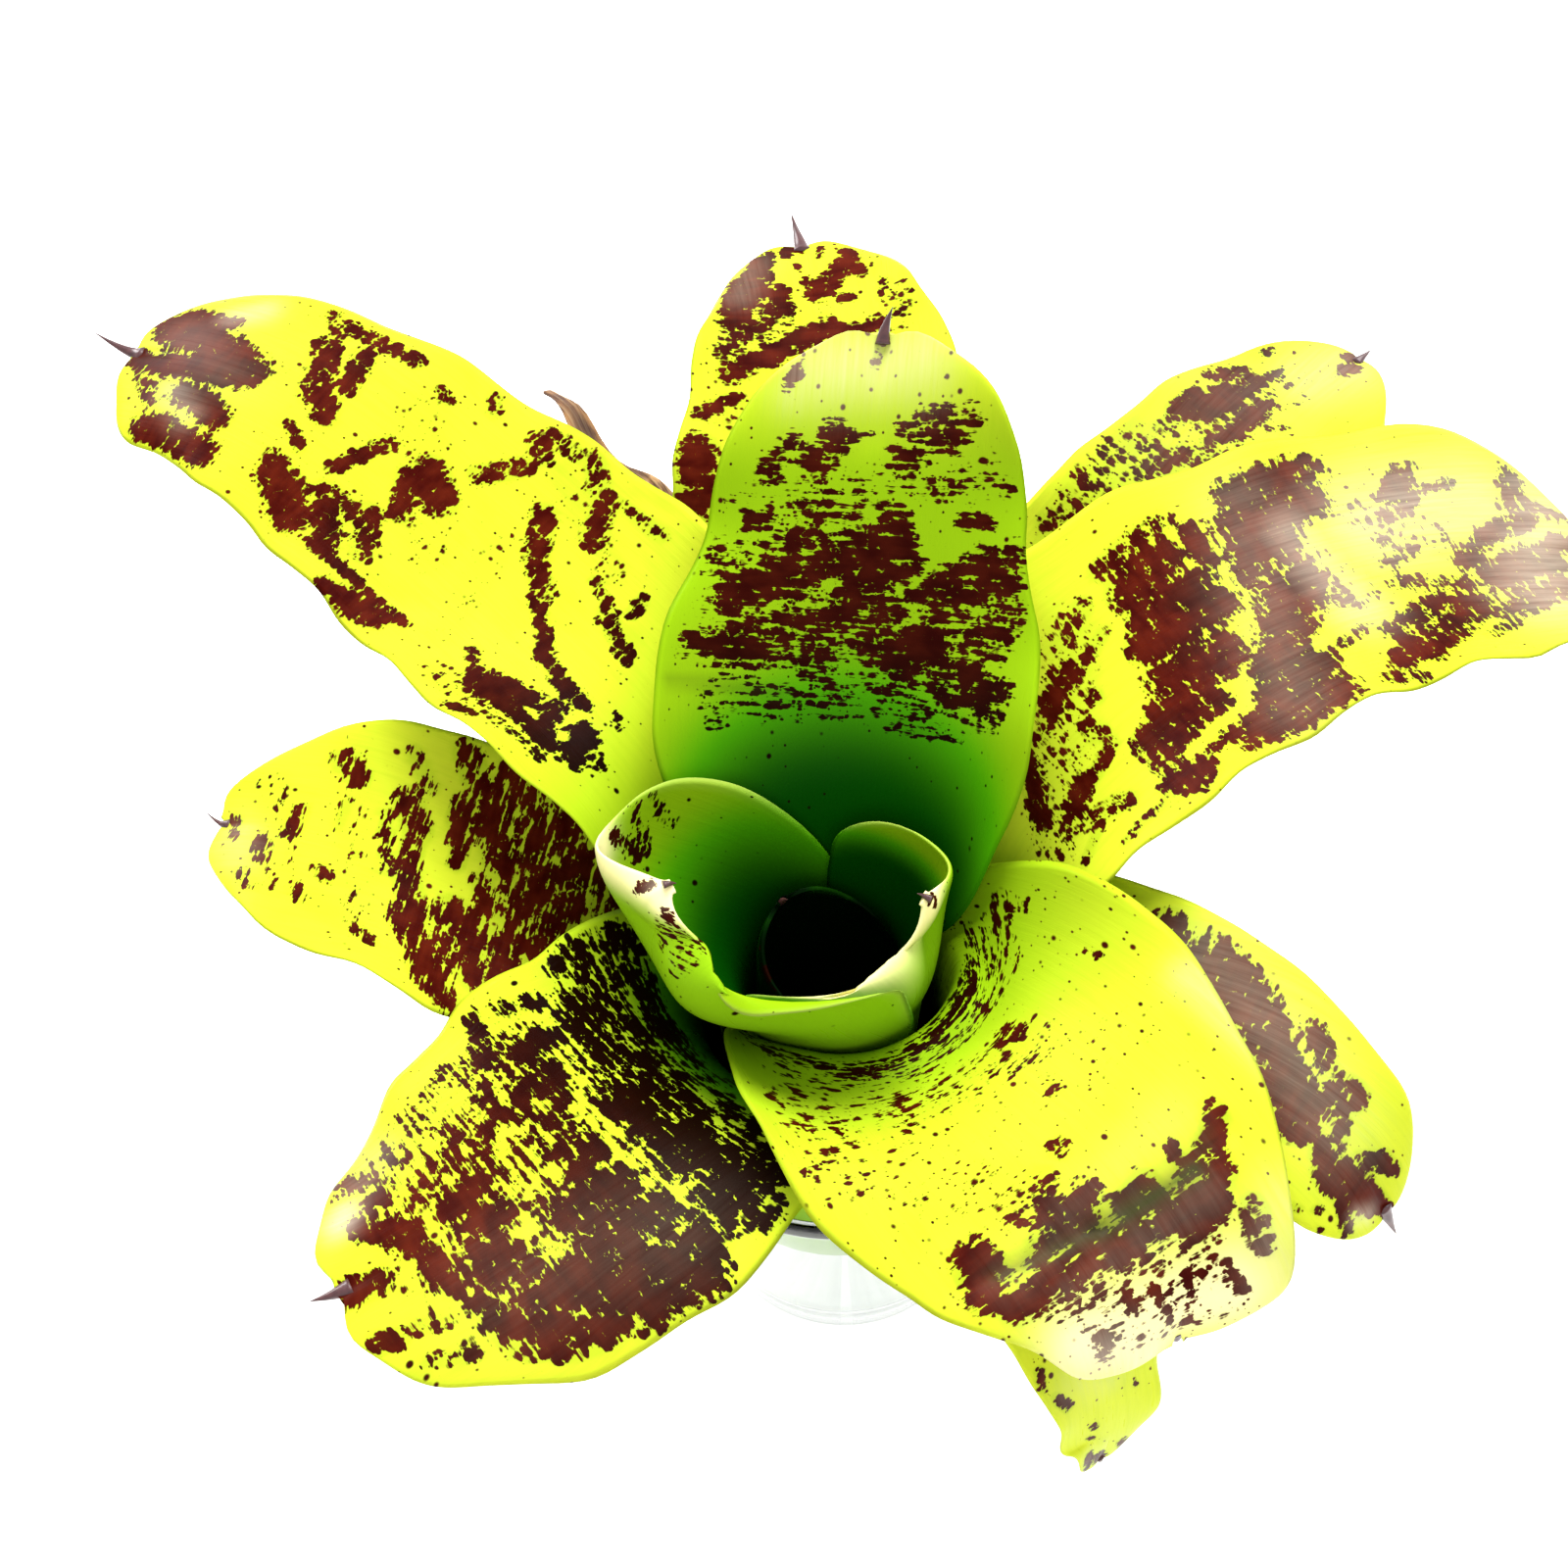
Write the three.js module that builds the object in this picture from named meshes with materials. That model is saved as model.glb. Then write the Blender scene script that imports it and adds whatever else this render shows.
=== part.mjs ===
// Banded neoregelia, a tank bromeliad, standing in a clear glass tumbler.
// Millimetres, +Z up. The origin is the centre of the tumbler's foot, on the surface it stands on.
//
// Every leaf is one thin blade. Its lower part is a sheath that lies on its own surface of
// revolution round the stem, and those surfaces are nested at an even step, so the sheaths close
// into a water-holding tube without touching. Above the tube each leaf becomes a free blade that
// follows its own midrib.

import * as THREE from 'three';
import { mergeVertices } from 'three/addons/utils/BufferGeometryUtils.js';

// ---- driving dimensions -------------------------------------------------------------------

const clearance = 0.35;         // between pieces that rest on each other

const tumbler = {
  footRadius: 31, rimRadius: 43, height: 80,
  wall: 2.4, base: 5.6, footRound: 1.6, sides: 40,
};

const stem = { radius: 8, top: 56, edge: 2, ring: 0.6, ringStep: 4.6, sides: 20 };

const sheath = {
  step: 1.8,                    // from one nested leaf base to the next
  innerBowl: 3.5,               // bend radius of the innermost base
  bowlCentre: 58.5,             // height that all the bends turn about
  tubePitch: 86,                // slope of the tube wall, degrees
  baseWrap: 108,                // how far round the stem a base reaches, degrees each way
};

const blade = { thickness: 0.9, columns: 10, bendRows: 5, tubeRows: 2, rows: 15, crowding: 1.5 };

const freeAfter = 0.25;         // share of the blade over which it leaves the tube's round

const onset = { sweep: 1.5, twist: 1.3 };   // powers: how late the turn and the roll come in

const tipSpine = { rootHalf: 1.3, endHalf: 0.35, length: 6, rows: 2 };

// The margins of the grown leaves ripple; the young ones in the middle are still smooth.
const wave = { height: 0.9, length: 31, endLag: 1.3, youngLength: 60 };

// Leaves from the innermost out. azimuth: direction from +X; collar: height where the blade
// leaves the tube; pitch: slope a third and two thirds of the way out and at the end; sweep and
// twist: turn to the side and roll at the end; cup: half the angle that the blade bends across,
// at the collar, a third, two thirds and the end; half: half width at a third, two thirds and the
// end; taper: where the end starts to round off; roundness: how blunt that rounding is.
const leaves = [
  {
    azimuth: 131, collar: 99, length: 18, pitch: [89, 94, 117], sweep: 0, twist: 1,
    cup: [100, 100, 98, 88], half: [24, 21.5, 17.5], taper: 0.65, roundness: 2.3,
  },
  {
    azimuth: -21, collar: 101, length: 43, pitch: [72, 82, 162], sweep: -2, twist: 0,
    cup: [101, 105, 68, 25], half: [38, 25, 6.5], taper: 0.62, roundness: 1.7,
  },
  {
    azimuth: 196, collar: 100, length: 68, pitch: [51, 70, 200], sweep: 4, twist: 3,
    cup: [114, 79, 54, -12], half: [41, 31, 7], taper: 0.62, roundness: 1.7,
  },
  {
    azimuth: 80, collar: 98, length: 119, pitch: [51, 40, 36], sweep: -2, twist: -14,
    cup: [48, 53, 8, 15], half: [40, 32, 27], taper: 0.78, roundness: 2.2,
  },
  {
    azimuth: 303, collar: 95, length: 105, pitch: [34, 5, -82], sweep: -3, twist: 14,
    cup: [88, 53, 1, 23], half: [43.5, 35, 15.5], taper: 0.92, roundness: 2.5,
  },
  {
    azimuth: 125, collar: 93, length: 195, pitch: [17, 27, -16], sweep: 32, twist: -5,
    cup: [57, 45, 4, -17], half: [35.5, 30.5, 21], taper: 0.92, roundness: 2.3,
  },
  {
    azimuth: 34, collar: 90, length: 180, pitch: [35, -3, -16], sweep: -29, twist: 2,
    cup: [61, 25, 16, 25], half: [33.5, 33, 30], taper: 0.82, roundness: 2.3,
  },
  {
    azimuth: 227, collar: 95, length: 103, pitch: [35, 3, -1], sweep: -21, twist: 2,
    cup: [88, 23, -17, -26], half: [36.5, 36.5, 20], taper: 0.89, roundness: 2.5,
  },
  {
    azimuth: 84, collar: 95, length: 158, pitch: [26, 19, -13], sweep: 11, twist: -3,
    cup: [77, 8, 16, 6], half: [37.5, 30.5, 17], taper: 0.82, roundness: 2.3,
  },
  {
    azimuth: 328, collar: 91, length: 111, pitch: [39, -2, -66], sweep: -6, twist: 14,
    cup: [77, 29, 10, -1], half: [32, 22, 10], taper: 0.85, roundness: 2.4,
  },
  {
    azimuth: 169, collar: 88, length: 107, pitch: [27, 27, -17], sweep: -4, twist: -7,
    cup: [77, 16, 30, -1], half: [31, 28, 16], taper: 0.81, roundness: 2.3,
  },
  {
    azimuth: 44, collar: 84, length: 166, pitch: [30, 15, -9], sweep: -1, twist: 7,
    cup: [71, 29, 19, 6], half: [31.5, 27, 14.5], taper: 0.82, roundness: 2,
  },
  {
    azimuth: 299, collar: 86, length: 113, pitch: [2, -70, -93], sweep: 0, twist: 0,
    cup: [78, 31, 11, 10], half: [22.5, 12.5, 10], taper: 0.82, roundness: 2.3,
  },
];

// The withered outermost leaf: narrow, folded along its midrib and without a spine.
const dryLeaf = {
  azimuth: 99, collar: 80, length: 146, pitch: [20, 14, -20], sweep: 32, twist: 0,
  cup: [50, 50, 60, 50], half: [13, 9, 6], taper: 0.7, roundness: 1.6,
};

// ---- small helpers ------------------------------------------------------------------------

const radians = THREE.MathUtils.degToRad;

function ease(x) {
  return THREE.MathUtils.smoothstep(x, 0, 1);
}

// A smooth curve through values at 0, 1/3, 2/3 and 1.
function through(values, q) {
  const last = values.length - 1;
  const slope = values.map((value, i) => {
    const before = Math.max(i - 1, 0);
    const after = Math.min(i + 1, last);
    return (values[after] - values[before]) / (after - before);
  });
  const i = Math.min(Math.floor(q * last), last - 1);
  const t = q * last - i;
  return (1 + 2 * t) * (1 - t) ** 2 * values[i] + t * (1 - t) ** 2 * slope[i]
    + t * t * (3 - 2 * t) * values[i + 1] + t * t * (t - 1) * slope[i + 1];
}

// ---- leaves -------------------------------------------------------------------------------

// The rows of one sheath: rings of the nested surface, from the stem up to the collar.
function sheathRows(leaf, layer) {
  const bend = sheath.innerBowl + layer * sheath.step;
  const hub = stem.radius + clearance;
  const full = radians(sheath.tubePitch);
  const tubeFoot = sheath.bowlCentre - bend * Math.cos(full);
  const tubeLength = (leaf.collar - tubeFoot) / Math.sin(full);
  const total = bend * full + tubeLength;
  const lengths = [];
  for (let i = 0; i <= blade.bendRows; i++) lengths.push(bend * full * i / blade.bendRows);
  for (let i = 1; i <= blade.tubeRows; i++) {
    lengths.push(bend * full + tubeLength * i / blade.tubeRows);
  }
  return lengths.map((along) => {
    const angle = Math.min(along / bend, full);
    const beyond = Math.max(0, along - bend * full);
    const radius = hub + bend * Math.sin(angle) + beyond * Math.cos(full);
    const height = sheath.bowlCentre - bend * Math.cos(angle) + beyond * Math.sin(full);
    const wrap = THREE.MathUtils.lerp(radians(sheath.baseWrap), radians(leaf.cup[0]),
      ease(along / total));
    return { radius, height, wrap };
  });
}

// A point across a ring of the sheath, in the leaf's own frame (x outward, y to its left).
function ringPoint(radius, height, turn) {
  return new THREE.Vector3(radius * Math.cos(turn), radius * Math.sin(turn), height);
}

// The blade's grid of points, row by row, from just above the collar to the end of its spine.
function bladeGrid(leaf, collarRadius, across) {
  const pitches = [sheath.tubePitch, ...leaf.pitch].map(radians);
  const cups = leaf.cup.map(radians);
  const halves = [collarRadius * cups[0], ...leaf.half];
  const waveHeight = wave.height * ease(leaf.length / wave.youngLength - 1);
  const steps = 240;
  const step = leaf.length / steps;
  const rows = [];
  const middle = new THREE.Vector3(collarRadius, 0, leaf.collar);
  const frameAt = (q) => {
    const pitch = through(pitches, q);
    const heading = radians(leaf.sweep) * q ** onset.sweep;
    const roll = radians(leaf.twist) * q ** onset.twist;
    const along = new THREE.Vector3(
      Math.cos(pitch) * Math.cos(heading), Math.cos(pitch) * Math.sin(heading), Math.sin(pitch));
    const level = new THREE.Vector3(-Math.sin(heading), Math.cos(heading), 0);
    const lift = along.clone().cross(level);
    const side = level.clone().multiplyScalar(Math.cos(roll)).addScaledVector(lift, Math.sin(roll));
    const up = lift.multiplyScalar(Math.cos(roll)).addScaledVector(level, -Math.sin(roll));
    return { along, side, up };
  };
  let done = 0;
  for (let k = 1; k <= blade.rows; k++) {
    const q = 1 - (1 - k / blade.rows) ** blade.crowding;
    for (; done < Math.round(q * steps); done++) {
      middle.addScaledVector(frameAt((done + 1) / steps).along, step);
    }
    const { side, up } = frameAt(q);
    const full = through(halves, q);
    const rounding = Math.max(0, (q - leaf.taper) / (1 - leaf.taper));
    const half = Math.max(full * (1 - rounding ** leaf.roundness) ** (1 / leaf.roundness),
      tipSpine.rootHalf);
    const bend = through(cups, q) / full || 1e-5;
    const free = ease(q / freeAfter);
    rows.push(across.map((v) => {
      const reach = half * v;
      const ripple = waveHeight * ease(q / freeAfter - 1) * Math.abs(v) ** 3
        * Math.sin(2 * Math.PI * leaf.length * q / wave.length + wave.endLag * Math.sign(v));
      const open = middle.clone()
        .addScaledVector(side, Math.sin(reach * bend) / bend)
        .addScaledVector(up, (1 - Math.cos(reach * bend)) / bend + ripple * half / full);
      const radius = Math.hypot(middle.x, middle.y);
      return ringPoint(radius, middle.z, reach / collarRadius).lerp(open, free);
    }));
  }
  const { along, side } = frameAt(1);
  for (let k = 1; k <= tipSpine.rows; k++) {
    const share = k / tipSpine.rows;
    const half = THREE.MathUtils.lerp(tipSpine.rootHalf, tipSpine.endHalf, share);
    rows.push(across.map((v) => middle.clone()
      .addScaledVector(along, tipSpine.length * share).addScaledVector(side, half * v)));
  }
  return rows;
}

// The unit normal of the grid at each point, on the side that faces the sky or the tube.
function gridNormals(grid) {
  const lastRow = grid.length - 1;
  const lastColumn = grid[0].length - 1;
  return grid.map((row, i) => row.map((point, j) => {
    const along = grid[Math.min(i + 1, lastRow)][j].clone().sub(grid[Math.max(i - 1, 0)][j]);
    const side = row[Math.min(j + 1, lastColumn)].clone().sub(row[Math.max(j - 1, 0)]);
    return along.cross(side).normalize();
  }));
}

// A closed blade: the grid, a second grid one thickness below it, and the edge between them.
// Both faces are split along the same diagonals, so they never cross where the leaf waves.
function closedBlade(upper) {
  const normals = gridNormals(upper);
  const lower = upper.map((row, i) => row.map((point, j) =>
    point.clone().addScaledVector(normals[i][j], -blade.thickness)));
  const rows = upper.length;
  const columns = upper[0].length;
  const corner = (i, j, face) => (face * rows + i) * columns + j;
  const triangles = [];
  const quad = (a, b, c, d) => triangles.push(a, b, c, a, c, d);
  for (let i = 0; i + 1 < rows; i++) {
    for (let j = 0; j + 1 < columns; j++) {
      quad(corner(i, j, 0), corner(i + 1, j, 0), corner(i + 1, j + 1, 0), corner(i, j + 1, 0));
      triangles.push(corner(i, j, 1), corner(i + 1, j + 1, 1), corner(i + 1, j, 1));
      triangles.push(corner(i, j, 1), corner(i, j + 1, 1), corner(i + 1, j + 1, 1));
    }
    quad(corner(i, 0, 1), corner(i + 1, 0, 1), corner(i + 1, 0, 0), corner(i, 0, 0));
    const edge = columns - 1;
    quad(corner(i, edge, 0), corner(i + 1, edge, 0), corner(i + 1, edge, 1), corner(i, edge, 1));
  }
  for (let j = 0; j + 1 < columns; j++) {
    quad(corner(0, j, 1), corner(0, j, 0), corner(0, j + 1, 0), corner(0, j + 1, 1));
    const end = rows - 1;
    quad(corner(end, j + 1, 1), corner(end, j + 1, 0), corner(end, j, 0), corner(end, j, 1));
  }
  const geometry = new THREE.BufferGeometry();
  const positions = [...upper, ...lower].flat().flatMap((point) => point.toArray());
  geometry.setAttribute('position', new THREE.Float32BufferAttribute(positions, 3));
  geometry.setIndex(triangles);
  return geometry;
}

function leafGeometry(leaf, layer) {
  const across = [];
  for (let j = 0; j <= blade.columns; j++) across.push(2 * j / blade.columns - 1);
  const rings = sheathRows(leaf, layer);
  const collarRadius = rings[rings.length - 1].radius;
  const grid = rings.map(({ radius, height, wrap }) =>
    across.map((v) => ringPoint(radius, height, wrap * v)));
  grid.push(...bladeGrid(leaf, collarRadius, across));
  const geometry = closedBlade(grid);
  geometry.rotateZ(radians(leaf.azimuth));
  geometry.computeVertexNormals();
  return geometry;
}

// ---- tumbler and stem ---------------------------------------------------------------------

// A straight-sided tumbler with a thick foot and a rounded rim, turned about Z.
function tumblerGeometry() {
  const { footRadius, rimRadius, height, wall, base, footRound, sides } = tumbler;
  const lean = (rimRadius - footRadius) / height;
  const outerAt = (z) => footRadius + lean * z;
  const lip = wall / 2;
  const profile = [
    [0, 0], [footRadius - footRound, 0], [outerAt(footRound), footRound],
    [outerAt(height / 2), height / 2],
    [outerAt(height - lip), height - lip], [outerAt(height) - lip, height],
    [outerAt(height) - wall, height - lip],
    [outerAt(height / 2) - wall, height / 2],
    [outerAt(base) - wall, base + footRound], [outerAt(base) - wall - footRound, base], [0, base],
  ].map(([x, y]) => new THREE.Vector2(x, y));
  return turned(profile, sides);
}

// A profile of radius and height turned about Z, closed and facing outward.
function turned(profile, sides) {
  const lathe = new THREE.LatheGeometry(profile, sides);
  lathe.deleteAttribute('normal');
  lathe.deleteAttribute('uv');
  lathe.rotateX(Math.PI / 2);
  const closed = mergeVertices(lathe, 1e-4);
  closed.computeVertexNormals();
  return closed;
}

// The short upright stem, ringed where old leaves came away below the living ones.
function stemGeometry() {
  const foot = tumbler.base + clearance;
  const lowestLeaf = sheath.bowlCentre - sheath.innerBowl - leaves.length * sheath.step;
  const { radius, top, edge, ring, ringStep, sides } = stem;
  const profile = [[0, foot], [radius - edge, foot], [radius - ring, foot + edge]];
  for (let z = foot + ringStep; z < lowestLeaf - ringStep; z += ringStep) {
    profile.push([radius, z], [radius - ring, z + ringStep / 3]);
  }
  profile.push([radius, lowestLeaf - edge], [radius, top - edge]);
  profile.push([radius - edge, top], [0, top]);
  return turned(profile.map(([x, y]) => new THREE.Vector2(x, y)), sides);
}

// ---- the plant ----------------------------------------------------------------------------

const finishes = {
  leaf: new THREE.MeshStandardMaterial({
    name: 'leaf', color: 0xd9e23a, roughness: 0.35, metalness: 0,
  }),
  dry: new THREE.MeshStandardMaterial({
    name: 'dry', color: 0x8a6a45, roughness: 0.85, metalness: 0,
  }),
  stem: new THREE.MeshStandardMaterial({
    name: 'stem', color: 0x8d7a4c, roughness: 0.8, metalness: 0,
  }),
  glass: new THREE.MeshStandardMaterial({
    name: 'glass', color: 0xf2f6f5, roughness: 0.05, metalness: 0, transparent: true, opacity: 0.3,
  }),
};

function piece(name, geometry, finish) {
  const mesh = new THREE.Mesh(geometry, finishes[finish]);
  mesh.name = name;
  return mesh;
}

const plant = new THREE.Group();
plant.add(piece('glass_tumbler', tumblerGeometry(), 'glass'));
plant.add(piece('stem', stemGeometry(), 'stem'));
leaves.forEach((leaf, layer) => {
  const name = `leaf_${String(layer + 1).padStart(2, '0')}`;
  plant.add(piece(name, leafGeometry(leaf, layer), 'leaf'));
});
plant.add(piece('dry_leaf', leafGeometry(dryLeaf, leaves.length), 'dry'));

export default plant;
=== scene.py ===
import math
import bmesh
import bpy
import numpy as np
from mathutils import Matrix, Vector


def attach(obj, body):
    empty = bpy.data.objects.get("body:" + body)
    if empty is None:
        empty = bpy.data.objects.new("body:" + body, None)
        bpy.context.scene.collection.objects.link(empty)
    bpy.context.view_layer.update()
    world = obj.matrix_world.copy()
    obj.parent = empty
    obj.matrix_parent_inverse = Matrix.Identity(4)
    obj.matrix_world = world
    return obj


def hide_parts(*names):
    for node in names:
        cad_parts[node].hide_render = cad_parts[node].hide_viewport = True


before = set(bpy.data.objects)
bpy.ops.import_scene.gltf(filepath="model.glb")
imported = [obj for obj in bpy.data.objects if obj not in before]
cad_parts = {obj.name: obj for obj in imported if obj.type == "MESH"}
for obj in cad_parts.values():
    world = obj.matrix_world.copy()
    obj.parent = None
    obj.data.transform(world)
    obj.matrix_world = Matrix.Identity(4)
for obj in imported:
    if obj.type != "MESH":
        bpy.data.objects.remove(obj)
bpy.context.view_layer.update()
mm = 0.001
print("frame loaded with", len(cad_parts), "nodes")

lens = {
    "lookDown": 53.0,          # degrees below level
    "roll": -4.0,
    "fieldOfView": 45.0,
    "hungOn": (0, 0, 116),     # a point at the mouth of the cup, mm
    "hungPixel": (850, 965),   # where that point shows in a square frame
    "frameSide": 1600,
    "distance": 364,           # mm along the view from the camera to that point
    "clipStart": 0.01,         # metres
}


def added(name, data):
    # puts a new object into the scene
    made = bpy.data.objects.new(name, data)
    bpy.context.scene.collection.objects.link(made)
    return made


def makeCamera():
    down, roll = math.radians(lens["lookDown"]), math.radians(lens["roll"])
    forward = Vector((0, math.cos(down), -math.sin(down)))
    level = Vector((1, 0, 0))
    rise = level.cross(forward)
    right = level * math.cos(roll) + rise * math.sin(roll)
    up = rise * math.cos(roll) - level * math.sin(roll)
    middle = lens["frameSide"] / 2
    pixels = middle / math.tan(math.radians(lens["fieldOfView"] / 2))
    scale = lens["distance"] * mm / pixels
    place = Vector(lens["hungOn"]) * mm - forward * lens["distance"] * mm
    place -= right * (lens["hungPixel"][0] - middle) * scale
    place += up * (lens["hungPixel"][1] - middle) * scale
    data = bpy.data.cameras.new("camera")
    data.angle = math.radians(lens["fieldOfView"])
    data.clip_start = lens["clipStart"]
    camera = added("camera", data)
    turned = Matrix((right, up, -forward)).transposed().to_4x4()
    camera.matrix_world = Matrix.Translation(place) @ turned
    bpy.context.scene.camera = camera


makeCamera()
print("camera set")

# The leaves, in millimetres, innermost first. Each has a sheath round the stem and a free blade.
# azimuth: direction from +X; collar: height where the blade leaves the tube; pitch: slope a third
# and two thirds of the way out and at the end; sweep and twist: turn and roll at the end; cup: half
# the angle that the blade bends across, at the collar, a third, two thirds and the end; half: half
# width at a third, two thirds and the end; taper and roundness: how the end rounds off.
# green: distances out where the green of the cup starts to turn yellow and has turned.
# deep: distances out where the cup's dark green, partly painted shade, starts to fade and has gone.
# black: distance out where the patches have turned from the near-black of painted shade to brown.
# torn: how far streaks tear the patches. dots: how often small dots stand away from them.
# lobes: how far the two shoulders stand past the root of the spine. scallop: how far the left and
# the right margin swing in and out. spine: its length, then its end's shift to the left and up.
# nudges: soft pushes along strokes, as (out, across, out, across, radius, outward, left, up).
# wax, cream and crease: soft strokes of a glossy bloom whose whitish colour is a painted sheen,
# of pale flesh and of painted shade in a fold, given as the marks are.
# marks: brown patches as (out, across, out, across, radius, fill), strokes between two points,
# out from the collar and across to the leaf's left. A low fill breaks a patch up into dots.

plainLeaf = {   # what a leaf has where its own entry says nothing
    "green": (0, 1), "cupGreenAndShade": (-40, -30), "black": 0, "torn": 0, "dots": 0, "lobes": 0,
    "spine": (0, 0, 0), "nudges": [], "waxAndSheen": [], "cream": [], "foldShade": [],
}

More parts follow.
